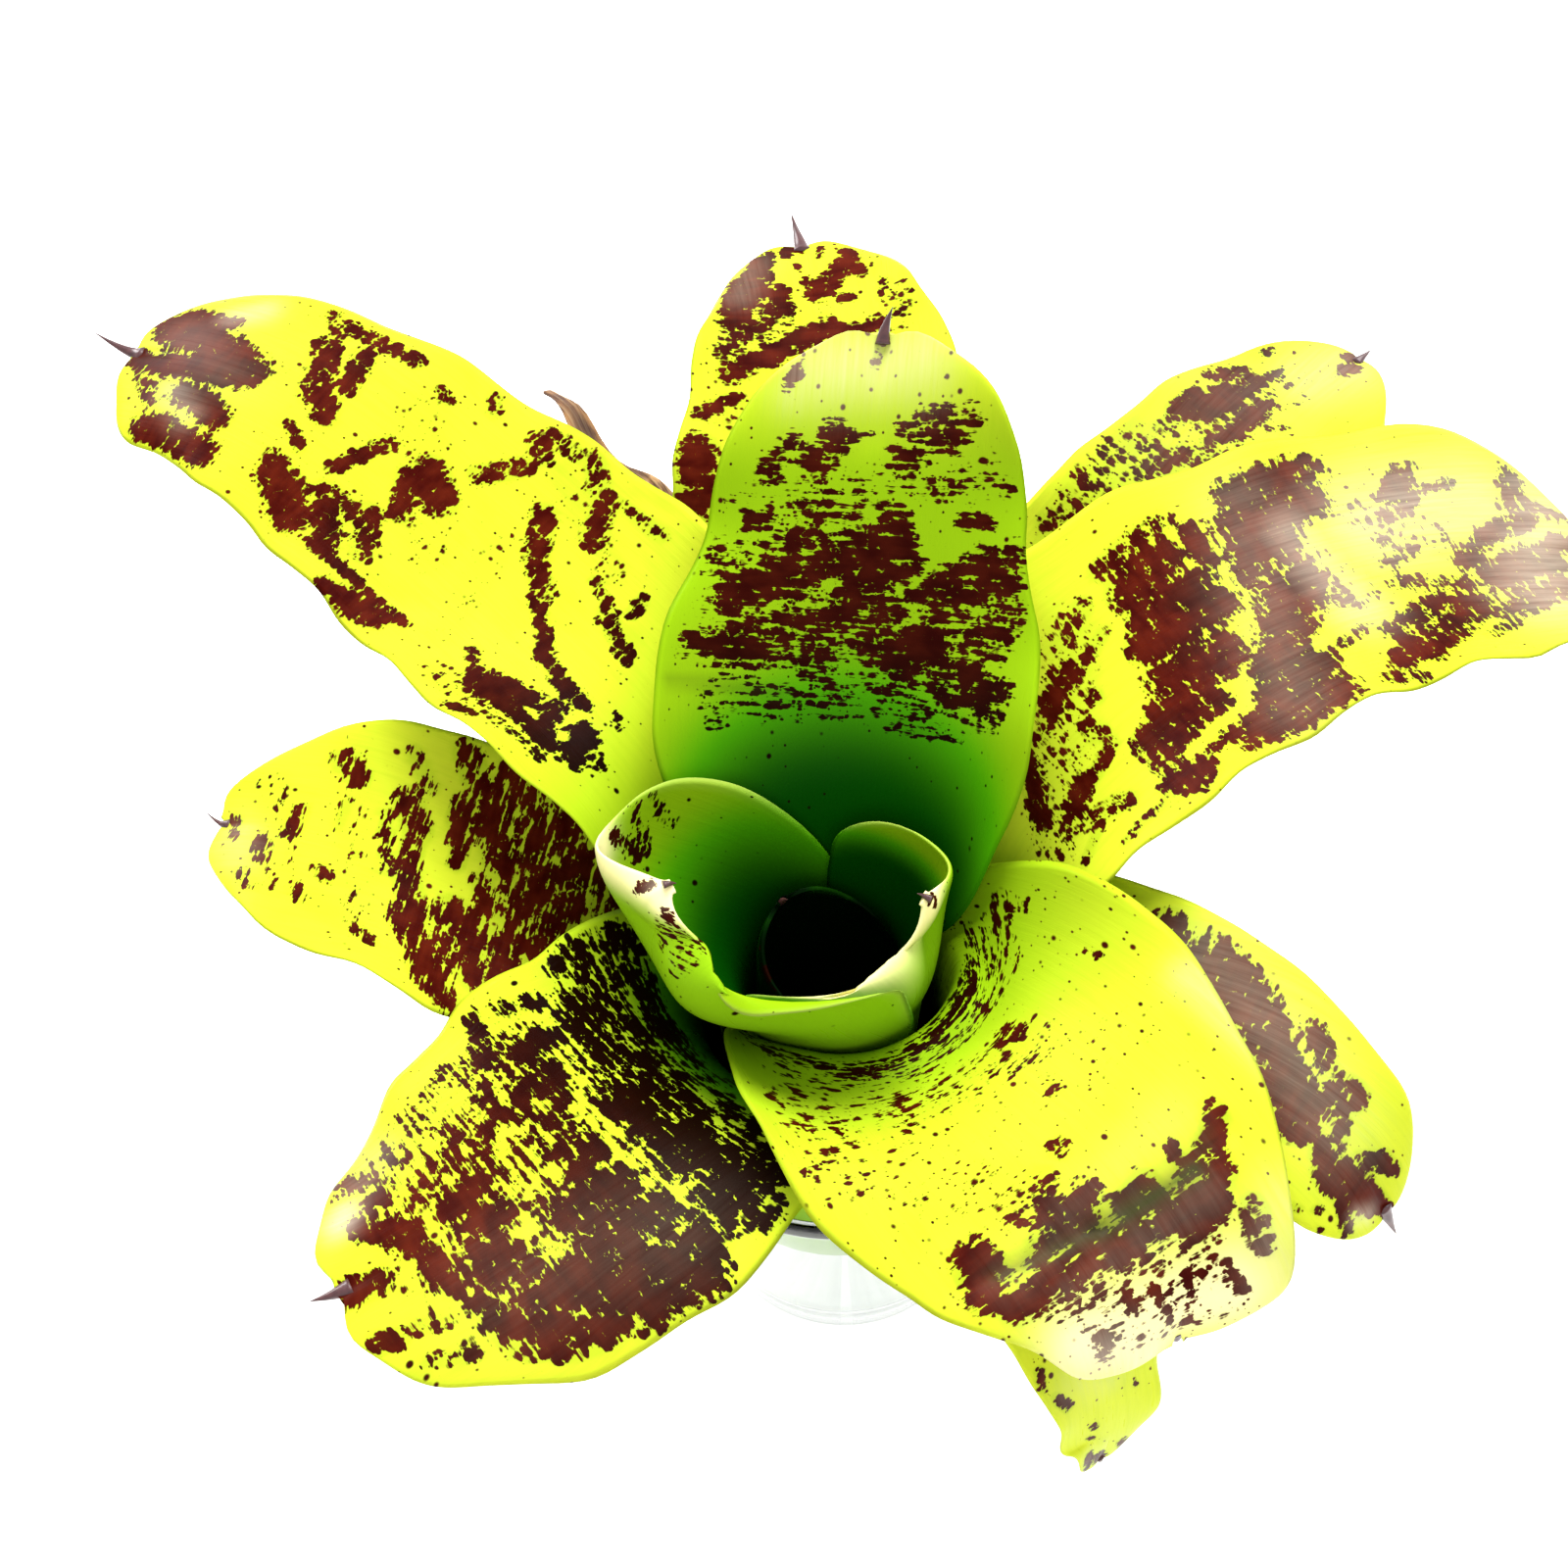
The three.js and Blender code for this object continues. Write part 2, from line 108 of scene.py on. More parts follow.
leaves = [
    dict(
        azimuth=131, collar=99, length=18, pitch=(89, 94, 117), sweep=0, twist=1,
        cup=(100, 100, 98, 88), half=(24, 21.5, 17.5), taper=0.65, roundness=2.3,
        green=(40, 90), cupGreenAndShade=(30, 40), black=61, torn=1,
        lobes=0.3, scallop=(0, 0), spine=(2.5, 0, 0.4),
        cream=[(17.5, 5, 10, 14, 1.4, 0.22), (17, -7, 15.5, -14, 1.6, 0.3)],
        marks=[(12, 20, 16, 14, 1.2, 0.8)],
    ),
    dict(
        azimuth=-21, collar=101, length=43, pitch=(72, 82, 162), sweep=-2, twist=0,
        cup=(101, 105, 68, 25), half=(38, 25, 6.5), taper=0.62, roundness=1.7,
        green=(26, 60), cupGreenAndShade=(15, 32), black=61, torn=1, dots=0.04,
        lobes=0.5, scallop=(0.2, 0.2), spine=(1.2, 0, 0.2),
        nudges=[(29, 1, 29, 1, 9, 0, 0, 7), (16, -37, 37, -9, 6, 0, 0, 6)],
        cream=[(27, -24, 38, -8, 6, 0.9), (40, 0, 43, 0, 4, 0.5)],
        marks=[(30, 8, 31, 9, 1, 0.6), (41, 1, 43, 0, 1.2, 0.7)],
    ),
    dict(
        azimuth=196, collar=100, length=68, pitch=(51, 70, 200), sweep=4, twist=3,
        cup=(114, 79, 54, -12), half=(41, 31, 7), taper=0.62, roundness=1.7,
        green=(44, 90), cupGreenAndShade=(10, 53), black=77, torn=0.8, dots=0.15,
        lobes=0.5, scallop=(0.2, 0.2), spine=(1, 0, 0.2),
        nudges=[
            (50, 3, 50, 3, 13, 0, 0, 8), (60, 12, 60, 12, 9, 6, 0, 0), (20, 41, 56, 15, 7, 0, -1.5, 7),
            (22, 24, 22, 40, 11, 0, 0, 3.5),
        ],
        waxAndSheen=[(66, 0, 67, 0, 3, 0.6)],
        cream=[(50, -20, 64, -4, 5, 0.9), (64, 3, 68, 0, 4, 0.8)],
        marks=[
            (36, -22, 46, -24, 1.5, 0.9), (34, -24, 44, -33, 1.6, 0.6), (48, 12, 58, 10, 3, 0.45),
            (50, 6, 60, 5, 2.5, 0.5), (61, 5, 63, 4, 1.5, 0.9), (30, -30, 38, -34, 1.5, 0.5),
            (62, -3, 65, -2, 1.2, 0.8),
        ],
    ),
    dict(
        azimuth=80, collar=98, length=119, pitch=(51, 40, 36), sweep=-2, twist=-14,
        cup=(48, 53, 8, 15), half=(40, 32, 27), taper=0.78, roundness=2.2,
        green=(88, 124), cupGreenAndShade=(26, 74), black=90, torn=1.05, dots=0.3,
        lobes=1.5, scallop=(0.3, 0.3), spine=(5.5, -1.6, 0.8),
        nudges=[(100, 0, 118, 0, 3, 0, 0, -0.5)],
        waxAndSheen=[(112, 12, 114, -8, 7, 0.8), (108, 16, 114, 6, 5, 0.5)],
        foldShade=[(49, 14, 51, 37, 1.5, 0.3)],
        marks=[
            (57, 28, 57, 14, 3, 0.95), (60, 24, 64, 21, 3, 0.7), (67, 25, 73, 14, 4, 1),
            (71, 12, 76, 6, 3.5, 0.95), (60, 16, 64, 4, 4.5, 0.76), (55, 10, 60, 1, 3, 0.7),
            (66, 4, 72, 0, 4, 0.8), (76, 3, 80, -5, 4.5, 1), (80, -6, 84, -6, 3.2, 0.95),
            (72, -3, 76, -8, 4, 1), (60, -4, 64, -3, 4.5, 0.8), (57, -10, 61, -15, 5.5, 0.92),
            (55, -18, 60, -15, 4, 0.8), (66, -6, 70, -16, 3.5, 0.65), (51, -21, 53, -30, 3.6, 0.9),
            (56, -21, 64, -27, 4.5, 0.72), (71, -18, 75, -26, 4.6, 0.95), (71, -29, 78, -30, 3.2, 1),
            (62, -29, 70, -31, 3, 0.7), (47, 14, 50, 2, 2.6, 0.5), (45, -8, 45, -22, 2.4, 0.45),
            (44, 28, 47, 18, 2.4, 0.45), (56, 34, 64, 30, 2, 0.5), (72, 28, 77, 22, 1.8, 0.55),
            (82, 23, 84, 19, 1.3, 0.85), (80, 13, 87, 8, 3, 0.62), (82, 4, 86, 2, 1.8, 0.6),
            (93, 20, 98, 15, 3, 0.6), (94, 11, 99, 8, 3.8, 0.78), (99, 5, 100, 1, 1.2, 0.6),
            (96, -6, 99, -11, 3.4, 0.74), (101, -8, 103, -14, 3.6, 0.74),
            (99, -16, 104, -20, 2.4, 0.75), (84, -19, 84, -24, 1.6, 0.85),
            (91, -17, 91, -27, 1.5, 0.65), (90, -2, 92, -8, 1.2, 0.5), (48, 26, 50, -28, 5, 0.36),
            (86, 24, 92, -24, 5, 0.26), (74, 28, 82, 10, 5, 0.4), (109, 18, 112, 16, 1.5, 0.9),
            (113, 1, 119, 0, 1, 0.65),
        ],
    ),
    dict(
        azimuth=303, collar=95, length=105, pitch=(34, 5, -82), sweep=-3, twist=14,
        cup=(88, 53, 1, 23), half=(43.5, 35, 15.5), taper=0.92, roundness=2.5,
        green=(14, 62), cupGreenAndShade=(-22, 2), black=55, torn=0.85, dots=0.85,
        lobes=1.5, scallop=(0.4, 0.5), spine=(3, 0, -2.5),
        nudges=[
            (5, -19, 5, 7.5, 18, 18, 0, 1.3), (72, -28, 77, -5, 1.7, 0, 0, -1.5),
            (77, -5, 77, 23, 1.7, 0, 0, -1.5), (94, -6, 94, -6, 9, 0, 0, 2),
        ],
        waxAndSheen=[
            (97, -16, 103, -8, 7, 0.9), (56, 37, 74, 37, 3.5, 0.5), (90, 24, 96, 18, 5, 0.5),
            (84, -14, 83, 14, 4, 0.16), (76, -20, 72, 16, 6, 0.12),
        ],
        cream=[(93, -16, 97, 10, 7.5, 1)],
        foldShade=[(74, -22, 78, -5, 1.6, 0.65), (78, -5, 79, 14, 2, 0.85), (79, 14, 76, 20, 1.2, 0.3)],
        marks=[
            (11, -32, 14, -20, 2.8, 0.5), (15, -20, 14, -8, 3, 0.7), (14, -8, 11, 4, 3.4, 0.72),
            (11, 4, 11, 16, 3.4, 0.74), (11, 16, 15, 26, 2.8, 0.6), (17, 26, 24, 34, 2.2, 0.42),
            (19, -26, 20, -4, 5, 0.3), (19, 0, 22, 24, 5, 0.36), (30, -30, 44, -34, 8, 0.28),
            (32, -20, 40, 10, 8, 0.28), (48, -24, 62, -14, 9, 0.22), (46, 0, 56, 22, 8, 0.18),
            (17, 11, 22, 12, 1.2, 0.85), (21.4, 35, 21.8, 31, 0.8, 1), (34, 11, 37, 11, 2.2, 0.9),
            (34, 8, 35, 8, 0.8, 0.9), (25, -3, 26, -7, 1.4, 0.75), (29, -12, 35, -14, 1.1, 0.9),
            (40, -16, 42, -17, 0.8, 0.95), (37, -28, 37, -28, 1, 0.95), (35, -33, 35, -34, 0.9, 0.9),
            (28, -36, 31, -36, 0.8, 0.8), (25, -30, 26, -30, 0.9, 0.9), (51, 7, 53, 6.5, 0.8, 0.8),
            (40, 31, 42, 31, 0.7, 0.8), (74, 23, 77, 20, 1.9, 1), (77, 18, 79, 12, 1.3, 0.9),
            (81, 18, 83, 12, 2.3, 1), (83, 13, 85, 9, 3.8, 1), (82, 6, 83, -4, 3.2, 1),
            (80, -5, 81, -14, 3, 1), (80, -14, 81, -22, 3.2, 1), (77, -25, 81, -22, 2.6, 1),
            (69, -24, 76, -25, 3.4, 1), (67, -21, 74, -21, 1.4, 0.85), (77, 6, 78, 2, 2.8, 0.95),
            (72, -3, 76, -8, 3.2, 0.95), (73, -11, 77, -15, 3, 0.9), (65, -6, 70, -8, 2.2, 0.75),
            (62, 0, 63, -1, 1.5, 0.9), (68, -14, 69, -14, 0.9, 0.9), (74, 14, 76, 13, 1.2, 0.8),
            (88, 19, 92, 17, 2.2, 0.85), (92, 10, 98, 12, 1.2, 0.75), (92, 4, 99, 2, 1.1, 0.8),
            (90, -2, 97, -1, 1, 0.8), (88, -6, 91, -7, 1, 0.8), (86, -9, 92, -14, 1.4, 0.6),
            (94, -13, 97, -14, 1.4, 0.9), (86, -16, 92, 8, 4, 0.34), (94, -10, 99, 6, 5, 0.26),
        ],
    ),
    dict(
        azimuth=125, collar=93, length=195, pitch=(17, 27, -16), sweep=32, twist=-5,
        cup=(57, 45, 4, -17), half=(35.5, 30.5, 21), taper=0.92, roundness=2.3,
        green=(26, 84), cupGreenAndShade=(-18, 22), black=105, torn=0.42, dots=0.25,
        lobes=1.5, scallop=(0.6, 0.3), spine=(6.5, 0.5, 7),
        waxAndSheen=[(174, -17, 178, -14, 4, 0.5), (172, 14, 178, 10, 4, 0.4), (170, 2, 186, -6, 8, 0.12)],
        marks=[
            (163, 21, 180, 19, 4, 0.9), (165, 12, 175, 9, 3.4, 0.92), (169, 2, 186, 3, 3.6, 1),
            (167, -1, 188, -8, 5, 1), (178, -11, 188, -12, 2.8, 0.9), (190, 3, 195, 1, 2.4, 1),
            (182, 12, 188, 6, 2.5, 0.6), (137, 22, 146, 17, 3.8, 0.95), (125, 13, 136, 13, 2.4, 0.8),
            (128, 20, 134, 14, 2.6, 0.85), (140, 16, 149, 14, 2.2, 0.8), (121, 18, 126, 11, 3, 0.65),
            (103, 24, 111, 24, 1.3, 0.85), (108, 27, 120, 30, 2.8, 0.95), (113, 24, 130, 24, 1.5, 0.85),
            (126, 23, 134, 17, 2.2, 0.85), (146, 9, 151, 6, 1.4, 0.75), (147, 0, 151, -6, 2.6, 0.9),
            (148, -8, 150, -18, 2.2, 0.85), (152, -3, 157, -15, 2.8, 0.9), (142, -23, 157, -22, 2, 0.8),
            (157, -18, 161, -23, 1.8, 0.6), (119, -2, 124, -5, 3.8, 1), (122, 6, 126, -1, 2.4, 0.85),
            (138, 8, 134, -4, 1.6, 0.9), (117, -12, 112, -20, 2.2, 0.75),
            (111, -24, 114, -26, 2.2, 0.8), (106, -29, 113, -29, 1.8, 0.6),
            (98, -27, 103, -31, 2.4, 0.65), (124, -25, 126, -28, 1.8, 0.55),
            (132, -20, 134, -21, 1.2, 0.8), (66, 9, 73, 9, 2, 0.95), (71, 9, 80, 7, 1.8, 1),
            (80, 6, 90, -1, 1.6, 0.98), (90, -3, 97, -7, 2.3, 0.85), (97, -8, 102, -15, 2.6, 0.75),
            (62, 22, 83, 23, 2.6, 1), (73, 17, 81, 20, 2.8, 0.98), (57, 20, 60, 13, 2.8, 1),
            (65, 20, 68, 14, 2.4, 0.85), (85, 21, 89, 18, 1.6, 0.85), (60, 27, 78, 27, 1.2, 0.6),
            (76, 31, 80, 33, 1.8, 0.8), (53, 16, 55, 14, 1.4, 0.7), (68, -5, 78, -8, 1.9, 0.75),
            (76, -9, 85, -12, 1.3, 0.75), (74, -12, 75, -16, 1.2, 0.8), (91, -18, 94, -24, 2.3, 0.92),
            (81, -28, 92, -28, 1.5, 0.55), (58, 7, 60, 5, 1, 0.8), (112, 8, 134, -14, 6, 0.22),
            (64, 26, 88, 28, 4, 0.34), (96, 20, 104, -4, 4, 0.2), (84, -16, 100, -22, 4, 0.26),
            (94, -27, 99, -29, 1.5, 0.5),
        ],
    ),
    dict(
        azimuth=34, collar=90, length=180, pitch=(35, -3, -16), sweep=-29, twist=2,
        cup=(61, 25, 16, 25), half=(33.5, 33, 30), taper=0.82, roundness=2.3,
        green=(10, 56), cupGreenAndShade=(-18, 14), black=72, torn=0.7, dots=0.2,
        lobes=2, scallop=(0.4, 0.7), spine=(6, 0, 1),
        waxAndSheen=[
            (121, 12, 123, -10, 7, 0.6), (116, 22, 98, -26, 9, 0.22), (138, 10, 160, 13, 13, 0.7),
            (164, -12, 176, 12, 12, 0.8),
        ],
        marks=[
            (53, 4, 46, -11, 2.3, 1), (52, -14, 57, -12, 2.6, 0.85), (57, -13, 66, -10, 1.6, 0.75),
            (62, 5, 70, 8, 2.8, 0.85), (57, 2, 61, 4, 1.7, 0.7), (65, -3, 66, -7, 1.7, 0.85),
            (69, 1, 70, 0, 1.3, 0.8), (72, 13, 79, 17, 2.2, 0.55), (74, 8, 79, 10, 1.6, 0.5),
            (50, -17, 62, -22, 2.2, 0.55), (48, -25, 57, -20, 1.4, 0.5), (86, 21, 100, 24, 2.6, 0.6),
            (88, 14, 97, 17, 4.4, 0.95), (104, 20, 104, 12, 2, 0.98), (88, 8, 98, 8, 4.4, 0.95),
            (85, 2, 99, 3, 4.8, 1), (83, -6, 94, -7, 4.6, 1), (77, -11, 92, -11, 3, 0.92),
            (72, -15, 86, -16, 3.6, 0.95), (71, -20, 80, -18, 2.4, 0.85), (71, -26, 75, -28, 3.6, 0.95),
            (115, 24, 130, 24, 4, 0.9), (112, 17, 127, 18, 4.6, 1), (110, 11, 119, 11, 3.4, 1),
            (108, 6, 118, 7, 3, 0.9), (109, -1, 119, 2, 3.6, 0.9), (106, -6, 116, -5, 3.6, 0.92),
            (103, -10, 111, -10, 3, 0.85), (98, -16, 107, -13, 3.2, 0.95), (96, -22, 107, -20, 4, 1),
            (88, -27, 106, -28, 4.4, 1), (80, -25, 88, -24, 1.6, 0.7), (57, -29, 66, -28, 1.2, 0.6),
            (119, -2, 123, -9, 2, 0.75), (143, 15, 149, 21, 2.4, 0.9), (141, 11, 147, 14, 2.6, 0.85),
            (152, 16, 157, 17, 1.4, 0.85), (137, 6, 138, 3, 1.6, 0.75), (135, -1, 143, 2, 1.8, 0.6),
            (112, -18, 122, -15, 1.5, 0.55), (122, -26, 131, -21, 3, 0.88),
            (126, -18, 140, -13, 3, 0.75), (129, -25, 143, -18, 3.6, 0.82),
            (135, -6, 148, -9, 2.4, 0.6), (140, -14, 150, -14, 2.4, 0.85),
            (116, -29, 124, -31, 1.6, 0.7), (152, -3, 160, 4, 2.6, 0.9), (156, -8, 169, -3, 4.4, 0.98),
            (162, 4, 170, 8, 2.8, 0.85), (168, 11, 171, 19, 2.2, 0.9), (160, -14, 170, -11, 3.8, 0.95),
            (168, -5, 175, 2, 2.8, 0.9), (149, -18, 160, -17, 2.2, 0.85),
            (144, -24, 153, -21, 1.6, 0.6), (46, -16, 74, 14, 6, 0.34), (118, 12, 128, -8, 4, 0.3),
            (136, 12, 152, 2, 5, 0.3), (172, 12, 177, 8, 1.8, 0.8), (176, 2, 180, 0, 1.8, 1),
        ],
    ),
    dict(
        azimuth=227, collar=95, length=103, pitch=(35, 3, -1), sweep=-21, twist=2,
        cup=(88, 23, -17, -26), half=(36.5, 36.5, 20), taper=0.89, roundness=2.5,
        green=(8, 62), cupGreenAndShade=(2, 46), black=92, torn=0.9, dots=0.4,
        lobes=2, scallop=(0.8, 0.9), spine=(5.2, -0.5, 1),
        waxAndSheen=[(97, -13, 98, -12, 3, 0.95), (88, -22, 94, -18, 5, 0.3), (58, 22, 80, 14, 12, 0.09)],
        marks=[
            (22, -6, 24, -32, 4.4, 0.78), (32, -3, 33, -32, 5.5, 0.74), (41, 0, 39, -22, 5.2, 0.82),
            (20, 3, 28, 0, 2.2, 0.65), (27, 6, 33, 13, 2.6, 0.75), (36, 8, 35, 0, 3.2, 0.9),
            (30, 16, 40, 18, 2.6, 0.9), (38, 28, 47, 22, 4, 0.95), (44, 32, 47, 24, 3, 0.95),
            (42, 18, 42, 4, 4.8, 1), (46, 14, 47, -2, 3.6, 1), (34, 22, 40, 24, 2.6, 0.85),
            (44, -6, 47, -4, 3.6, 0.8), (56, 34, 66, 33, 3, 0.92), (54, 28, 68, 28, 4.6, 0.98),
            (58, 20, 70, 21, 6, 1), (58, 11, 67, 11, 4.6, 1), (57, 4, 62, 6, 3, 0.9),
            (56, -3, 61, -1, 2.6, 0.85), (54, -9, 59, -6, 2.6, 0.82), (52, -14, 59, -13, 3.2, 0.95),
            (46, -21, 54, -21, 3, 0.95), (44, -28, 49, -30, 2, 0.8), (56, -19, 60, -26, 2.8, 0.88),
            (61, -10, 66, -15, 2.3, 0.82), (58, -26, 56, -33, 2, 0.72), (63, -20, 68, -12, 1.8, 0.78),
            (66, 4, 70, 6, 1.4, 0.7), (64, -24, 67, -29, 1.6, 0.6), (72, 29, 78, 26, 3.2, 0.95),
            (73, 20, 82, 20, 4.2, 0.98), (78, 13, 82, 8, 4, 1), (75, 3, 81, 3, 3.6, 1),
            (77, -4, 82, -2, 3.2, 0.9), (78, -13, 82, -10, 2.4, 0.75), (70, -11, 74, -5, 2.2, 0.75),
            (72, -16, 76, -12, 1.6, 0.65), (83, 20, 86, 14, 1.6, 0.9), (82, 26, 84, 24, 1.4, 0.8),
            (87, 9, 90, -3, 2.5, 0.98), (90, -2, 94, -8, 2.6, 0.95), (89, -13, 95, -10, 2.6, 0.85),
            (92, -18, 97, -21, 2.6, 0.7), (98, 12, 100, 11, 1.8, 0.95), (97, 2, 102, 1, 2.4, 0.98),
            (91, 14, 95, 12, 1.6, 0.5), (90, 21, 96, 18, 1.4, 0.5), (50, 28, 52, -30, 4, 0.36),
            (86, 18, 97, -20, 5, 0.26), (50, -14, 72, -18, 7, 0.36), (60, -24, 84, -20, 6, 0.4),
            (76, -6, 90, -10, 5, 0.4), (56, 0, 70, -4, 5, 0.48),
        ],
    ),
    dict(
        azimuth=84, collar=95, length=158, pitch=(26, 19, -13), sweep=11, twist=-3,
        cup=(77, 8, 16, 6), half=(37.5, 30.5, 17), taper=0.82, roundness=2.3,
        green=(20, 66), cupGreenAndShade=(-10, 40), black=61, torn=0.42, dots=0.25,
        lobes=2.5, scallop=(0.5, 0.7), spine=(8.5, 0.6, 5),
        waxAndSheen=[(140, 16, 150, 12, 5, 0.25)],
        marks=[
            (86, 30, 96, 28, 5, 0.92), (85, 20, 95, 12, 5, 0.9), (84, 4, 94, -6, 5, 0.85),
            (84, -14, 92, -26, 4.5, 0.85), (106, 28, 110, 19, 1.5, 0.92), (60, 20, 64, -18, 4, 0.8),
            (104, 10, 108, -16, 2, 0.7), (116, 20, 120, 14, 2.6, 0.92), (120, 12, 124, 6, 2.6, 0.95),
            (124, 6, 127, -2, 2.8, 0.95), (125, -3, 126, -13, 1.8, 1), (122, 21, 130, 12, 2.2, 0.75),
            (126, 12, 134, 10, 2.2, 0.8), (131, 18, 143, 15, 4, 0.96), (141, 13, 152, 10, 3.6, 1),
            (132, 7, 140, 7, 2.4, 1), (138, -1, 145, -8, 2.8, 1), (142, -11, 150, -9, 1.8, 0.95),
            (135, -6, 135, -8, 1.5, 0.95), (153, 4, 158, 3, 1.4, 0.95), (141, 1, 143, 1, 1.1, 0.95),
            (148, 2, 149, 2, 0.9, 0.95), (132, -15, 138, -16, 1.5, 0.55),
            (128, -18, 130, -20, 1.5, 0.6), (151, -3, 154, -4, 0.9, 0.9), (156, 1, 158, 0, 1.4, 0.9),
            (106, 20, 112, -14, 5, 0.28), (118, -12, 136, -22, 4, 0.3),
        ],
    ),
    dict(
        azimuth=328, collar=91, length=111, pitch=(39, -2, -66), sweep=-6, twist=14,
        cup=(77, 29, 10, -1), half=(32, 22, 10), taper=0.85, roundness=2.4,
        green=(6, 36), cupGreenAndShade=(-16, 16), black=37, torn=0.6, dots=0.2,
        lobes=1, scallop=(0.4, 0.6), spine=(5.5, 0, 1),
        waxAndSheen=[(104, -6, 106, -4, 2, 0.7), (60, 18, 90, 2, 9, 0.35)],
        marks=[
            (50, 24, 54, 20, 2.4, 0.75), (47, 24, 49, 25, 1, 0.6), (59, 19, 66, 15, 4.2, 0.95),
            (68, 14, 75, 7, 4.2, 0.95), (75, 7, 83, 0, 4.2, 1), (79, 14, 83, 10, 2.2, 0.75),
            (84, 3, 89, 8, 3, 0.95), (83, -4, 87, -2, 2.3, 1), (90, 4, 92, 0, 1.6, 0.88),
            (91, -4, 98, -2, 2, 1), (98, 1, 101, 4, 1.8, 0.95), (97, -4, 106, -3, 1.2, 1),
            (100, -7, 104, -9, 1.5, 0.95), (103, 4, 104, 5, 1.3, 0.9), (96, -11, 96, -11, 1, 0.95),
            (99, -13, 99, -13, 0.9, 0.95), (92, -14, 93, -14, 0.8, 0.95), (104, -1, 111, 0, 1.6, 1),
            (94, -5, 102, -3, 3.4, 1), (60, -8, 72, -16, 4, 0.85), (40, 12, 46, -14, 3.5, 0.7),
        ],
    ),
    dict(
        azimuth=169, collar=88, length=107, pitch=(27, 27, -17), sweep=-4, twist=-7,
        cup=(77, 16, 30, -1), half=(31, 28, 16), taper=0.81, roundness=2.3,
        green=(6, 30), cupGreenAndShade=(-16, 16), black=46, torn=1.25, dots=0.12,
        lobes=2, scallop=(0.8, 0.6), spine=(2.4, -1.2, 3.2),
        waxAndSheen=[(100, 6, 102, 4, 5, 0.3)],
        marks=[
            (28, -8, 36, -14, 3.6, 0.75), (22, 6, 28, -6, 4, 0.8), (36, 12, 40, 2, 4, 0.88),
            (38, -2, 41, -19, 4.2, 0.88), (46, 16, 44, 4, 4, 0.9), (46, 2, 45, -8, 3.4, 0.92),
            (46, -12, 48, -23, 3.2, 0.92), (52, -8, 57, -20, 3.6, 0.95), (52, 10, 58, 7, 3.6, 1),
            (50, 18, 57, 13, 3.6, 0.96), (51, 3, 54, -2, 2.2, 0.85), (52, -22, 56, -26, 2.8, 0.96),
            (60, -4, 61, -15, 1.8, 0.95), (62, -8, 64, -16, 1.4, 0.92), (60, -19, 66, -26, 2.6, 0.96),
            (60, 18, 66, 11, 3.4, 1), (65, 9, 69, 2, 2.6, 1), (68, 1, 70, -7, 1.9, 0.96),
            (69, -7, 73, -12, 2.6, 0.9), (72, 3, 76, -8, 1, 0.95), (54, 28, 58, 21, 2.4, 0.85),
            (60, 25, 63, 20, 1.6, 0.75), (83, -13, 87, -16, 2, 0.96), (82, 9, 84, 7, 1.3, 0.92),
            (84, -2, 84, -8, 0.9, 0.6), (92, 1, 91, -4, 1.5, 0.92), (95, 7, 96, 4, 1.7, 0.96),
            (71, 20, 74, 18, 1.4, 0.72), (85, 15, 87, 12, 1.2, 0.6), (95, 14, 98, 11, 1.4, 0.7),
            (78, 2, 79, 2, 0.8, 0.95), (102, 3, 104, -1, 1.2, 0.85), (70, -16, 75, -21, 2, 0.45),
            (74, 16, 86, -18, 4, 0.2), (90, 12, 98, -8, 4, 0.24),
        ],
    ),
    dict(
        azimuth=44, collar=84, length=166, pitch=(30, 15, -9), sweep=-1, twist=7,
        cup=(71, 29, 19, 6), half=(31.5, 27, 14.5), taper=0.82, roundness=2,
        green=(14, 60), cupGreenAndShade=(-16, 20), black=41, torn=0.4, dots=0.3,
        lobes=1.5, scallop=(0.5, 0.5), spine=(4, 0, 1),
        waxAndSheen=[(150, 4, 160, 0, 8, 0.4), (116, 16, 138, 8, 12, 0.16)],
        marks=[
            (88, 24, 92, 20, 1.8, 0.6), (95, 24, 96, 17, 1.6, 0.65), (100, 25, 101, 16, 1.4, 0.65),
            (104, 20, 107, 22, 1.6, 0.45), (109, 14, 117, 11, 2.6, 0.7), (112, 20, 115, 16, 1.4, 0.6),
            (118, 7, 126, 9, 2.4, 0.6), (119, 19, 121, 16, 1.2, 0.6), (124, 18, 130, 17, 2.4, 0.85),
            (128, 15, 135, 12, 3.6, 0.98), (128, 6, 138, 6, 2.8, 0.9), (121, 4, 128, 0, 1.8, 0.7),
            (137, 19, 142, 14, 2.2, 0.75), (140, 10, 144, 10, 1.8, 0.9), (134, 2, 136, -2, 1.4, 0.6),
            (149, 14, 151, 14, 1.2, 0.7), (147, 9, 148, 8, 0.9, 0.8), (159, 0, 162, -1, 1.8, 0.95),
            (163, 2, 166, 0, 1.4, 0.9), (66, 18, 72, -18, 4, 0.75), (108, -4, 118, -16, 4, 0.8),
            (90, 8, 96, -18, 4.5, 0.8), (140, -13, 143, -18, 1.8, 0.7), (70, 16, 112, 22, 6, 0.34),
            (116, 16, 146, 4, 6, 0.26),
        ],
    ),
    dict(
        azimuth=299, collar=86, length=113, pitch=(2, -70, -93), sweep=0, twist=0,
        cup=(78, 31, 11, 10), half=(22.5, 12.5, 10), taper=0.82, roundness=2.3,
        green=(-20, 0), cupGreenAndShade=(-20, 10), black=31, torn=0.5, dots=0.1,
        lobes=0.5, scallop=(0.3, 0.3), spine=(1.5, 0, 0),
        nudges=[(103, -9, 103, -9, 8, -8, 1, 0)],
        waxAndSheen=[(70, -6, 76, 0, 5, 0.3)],
        marks=[
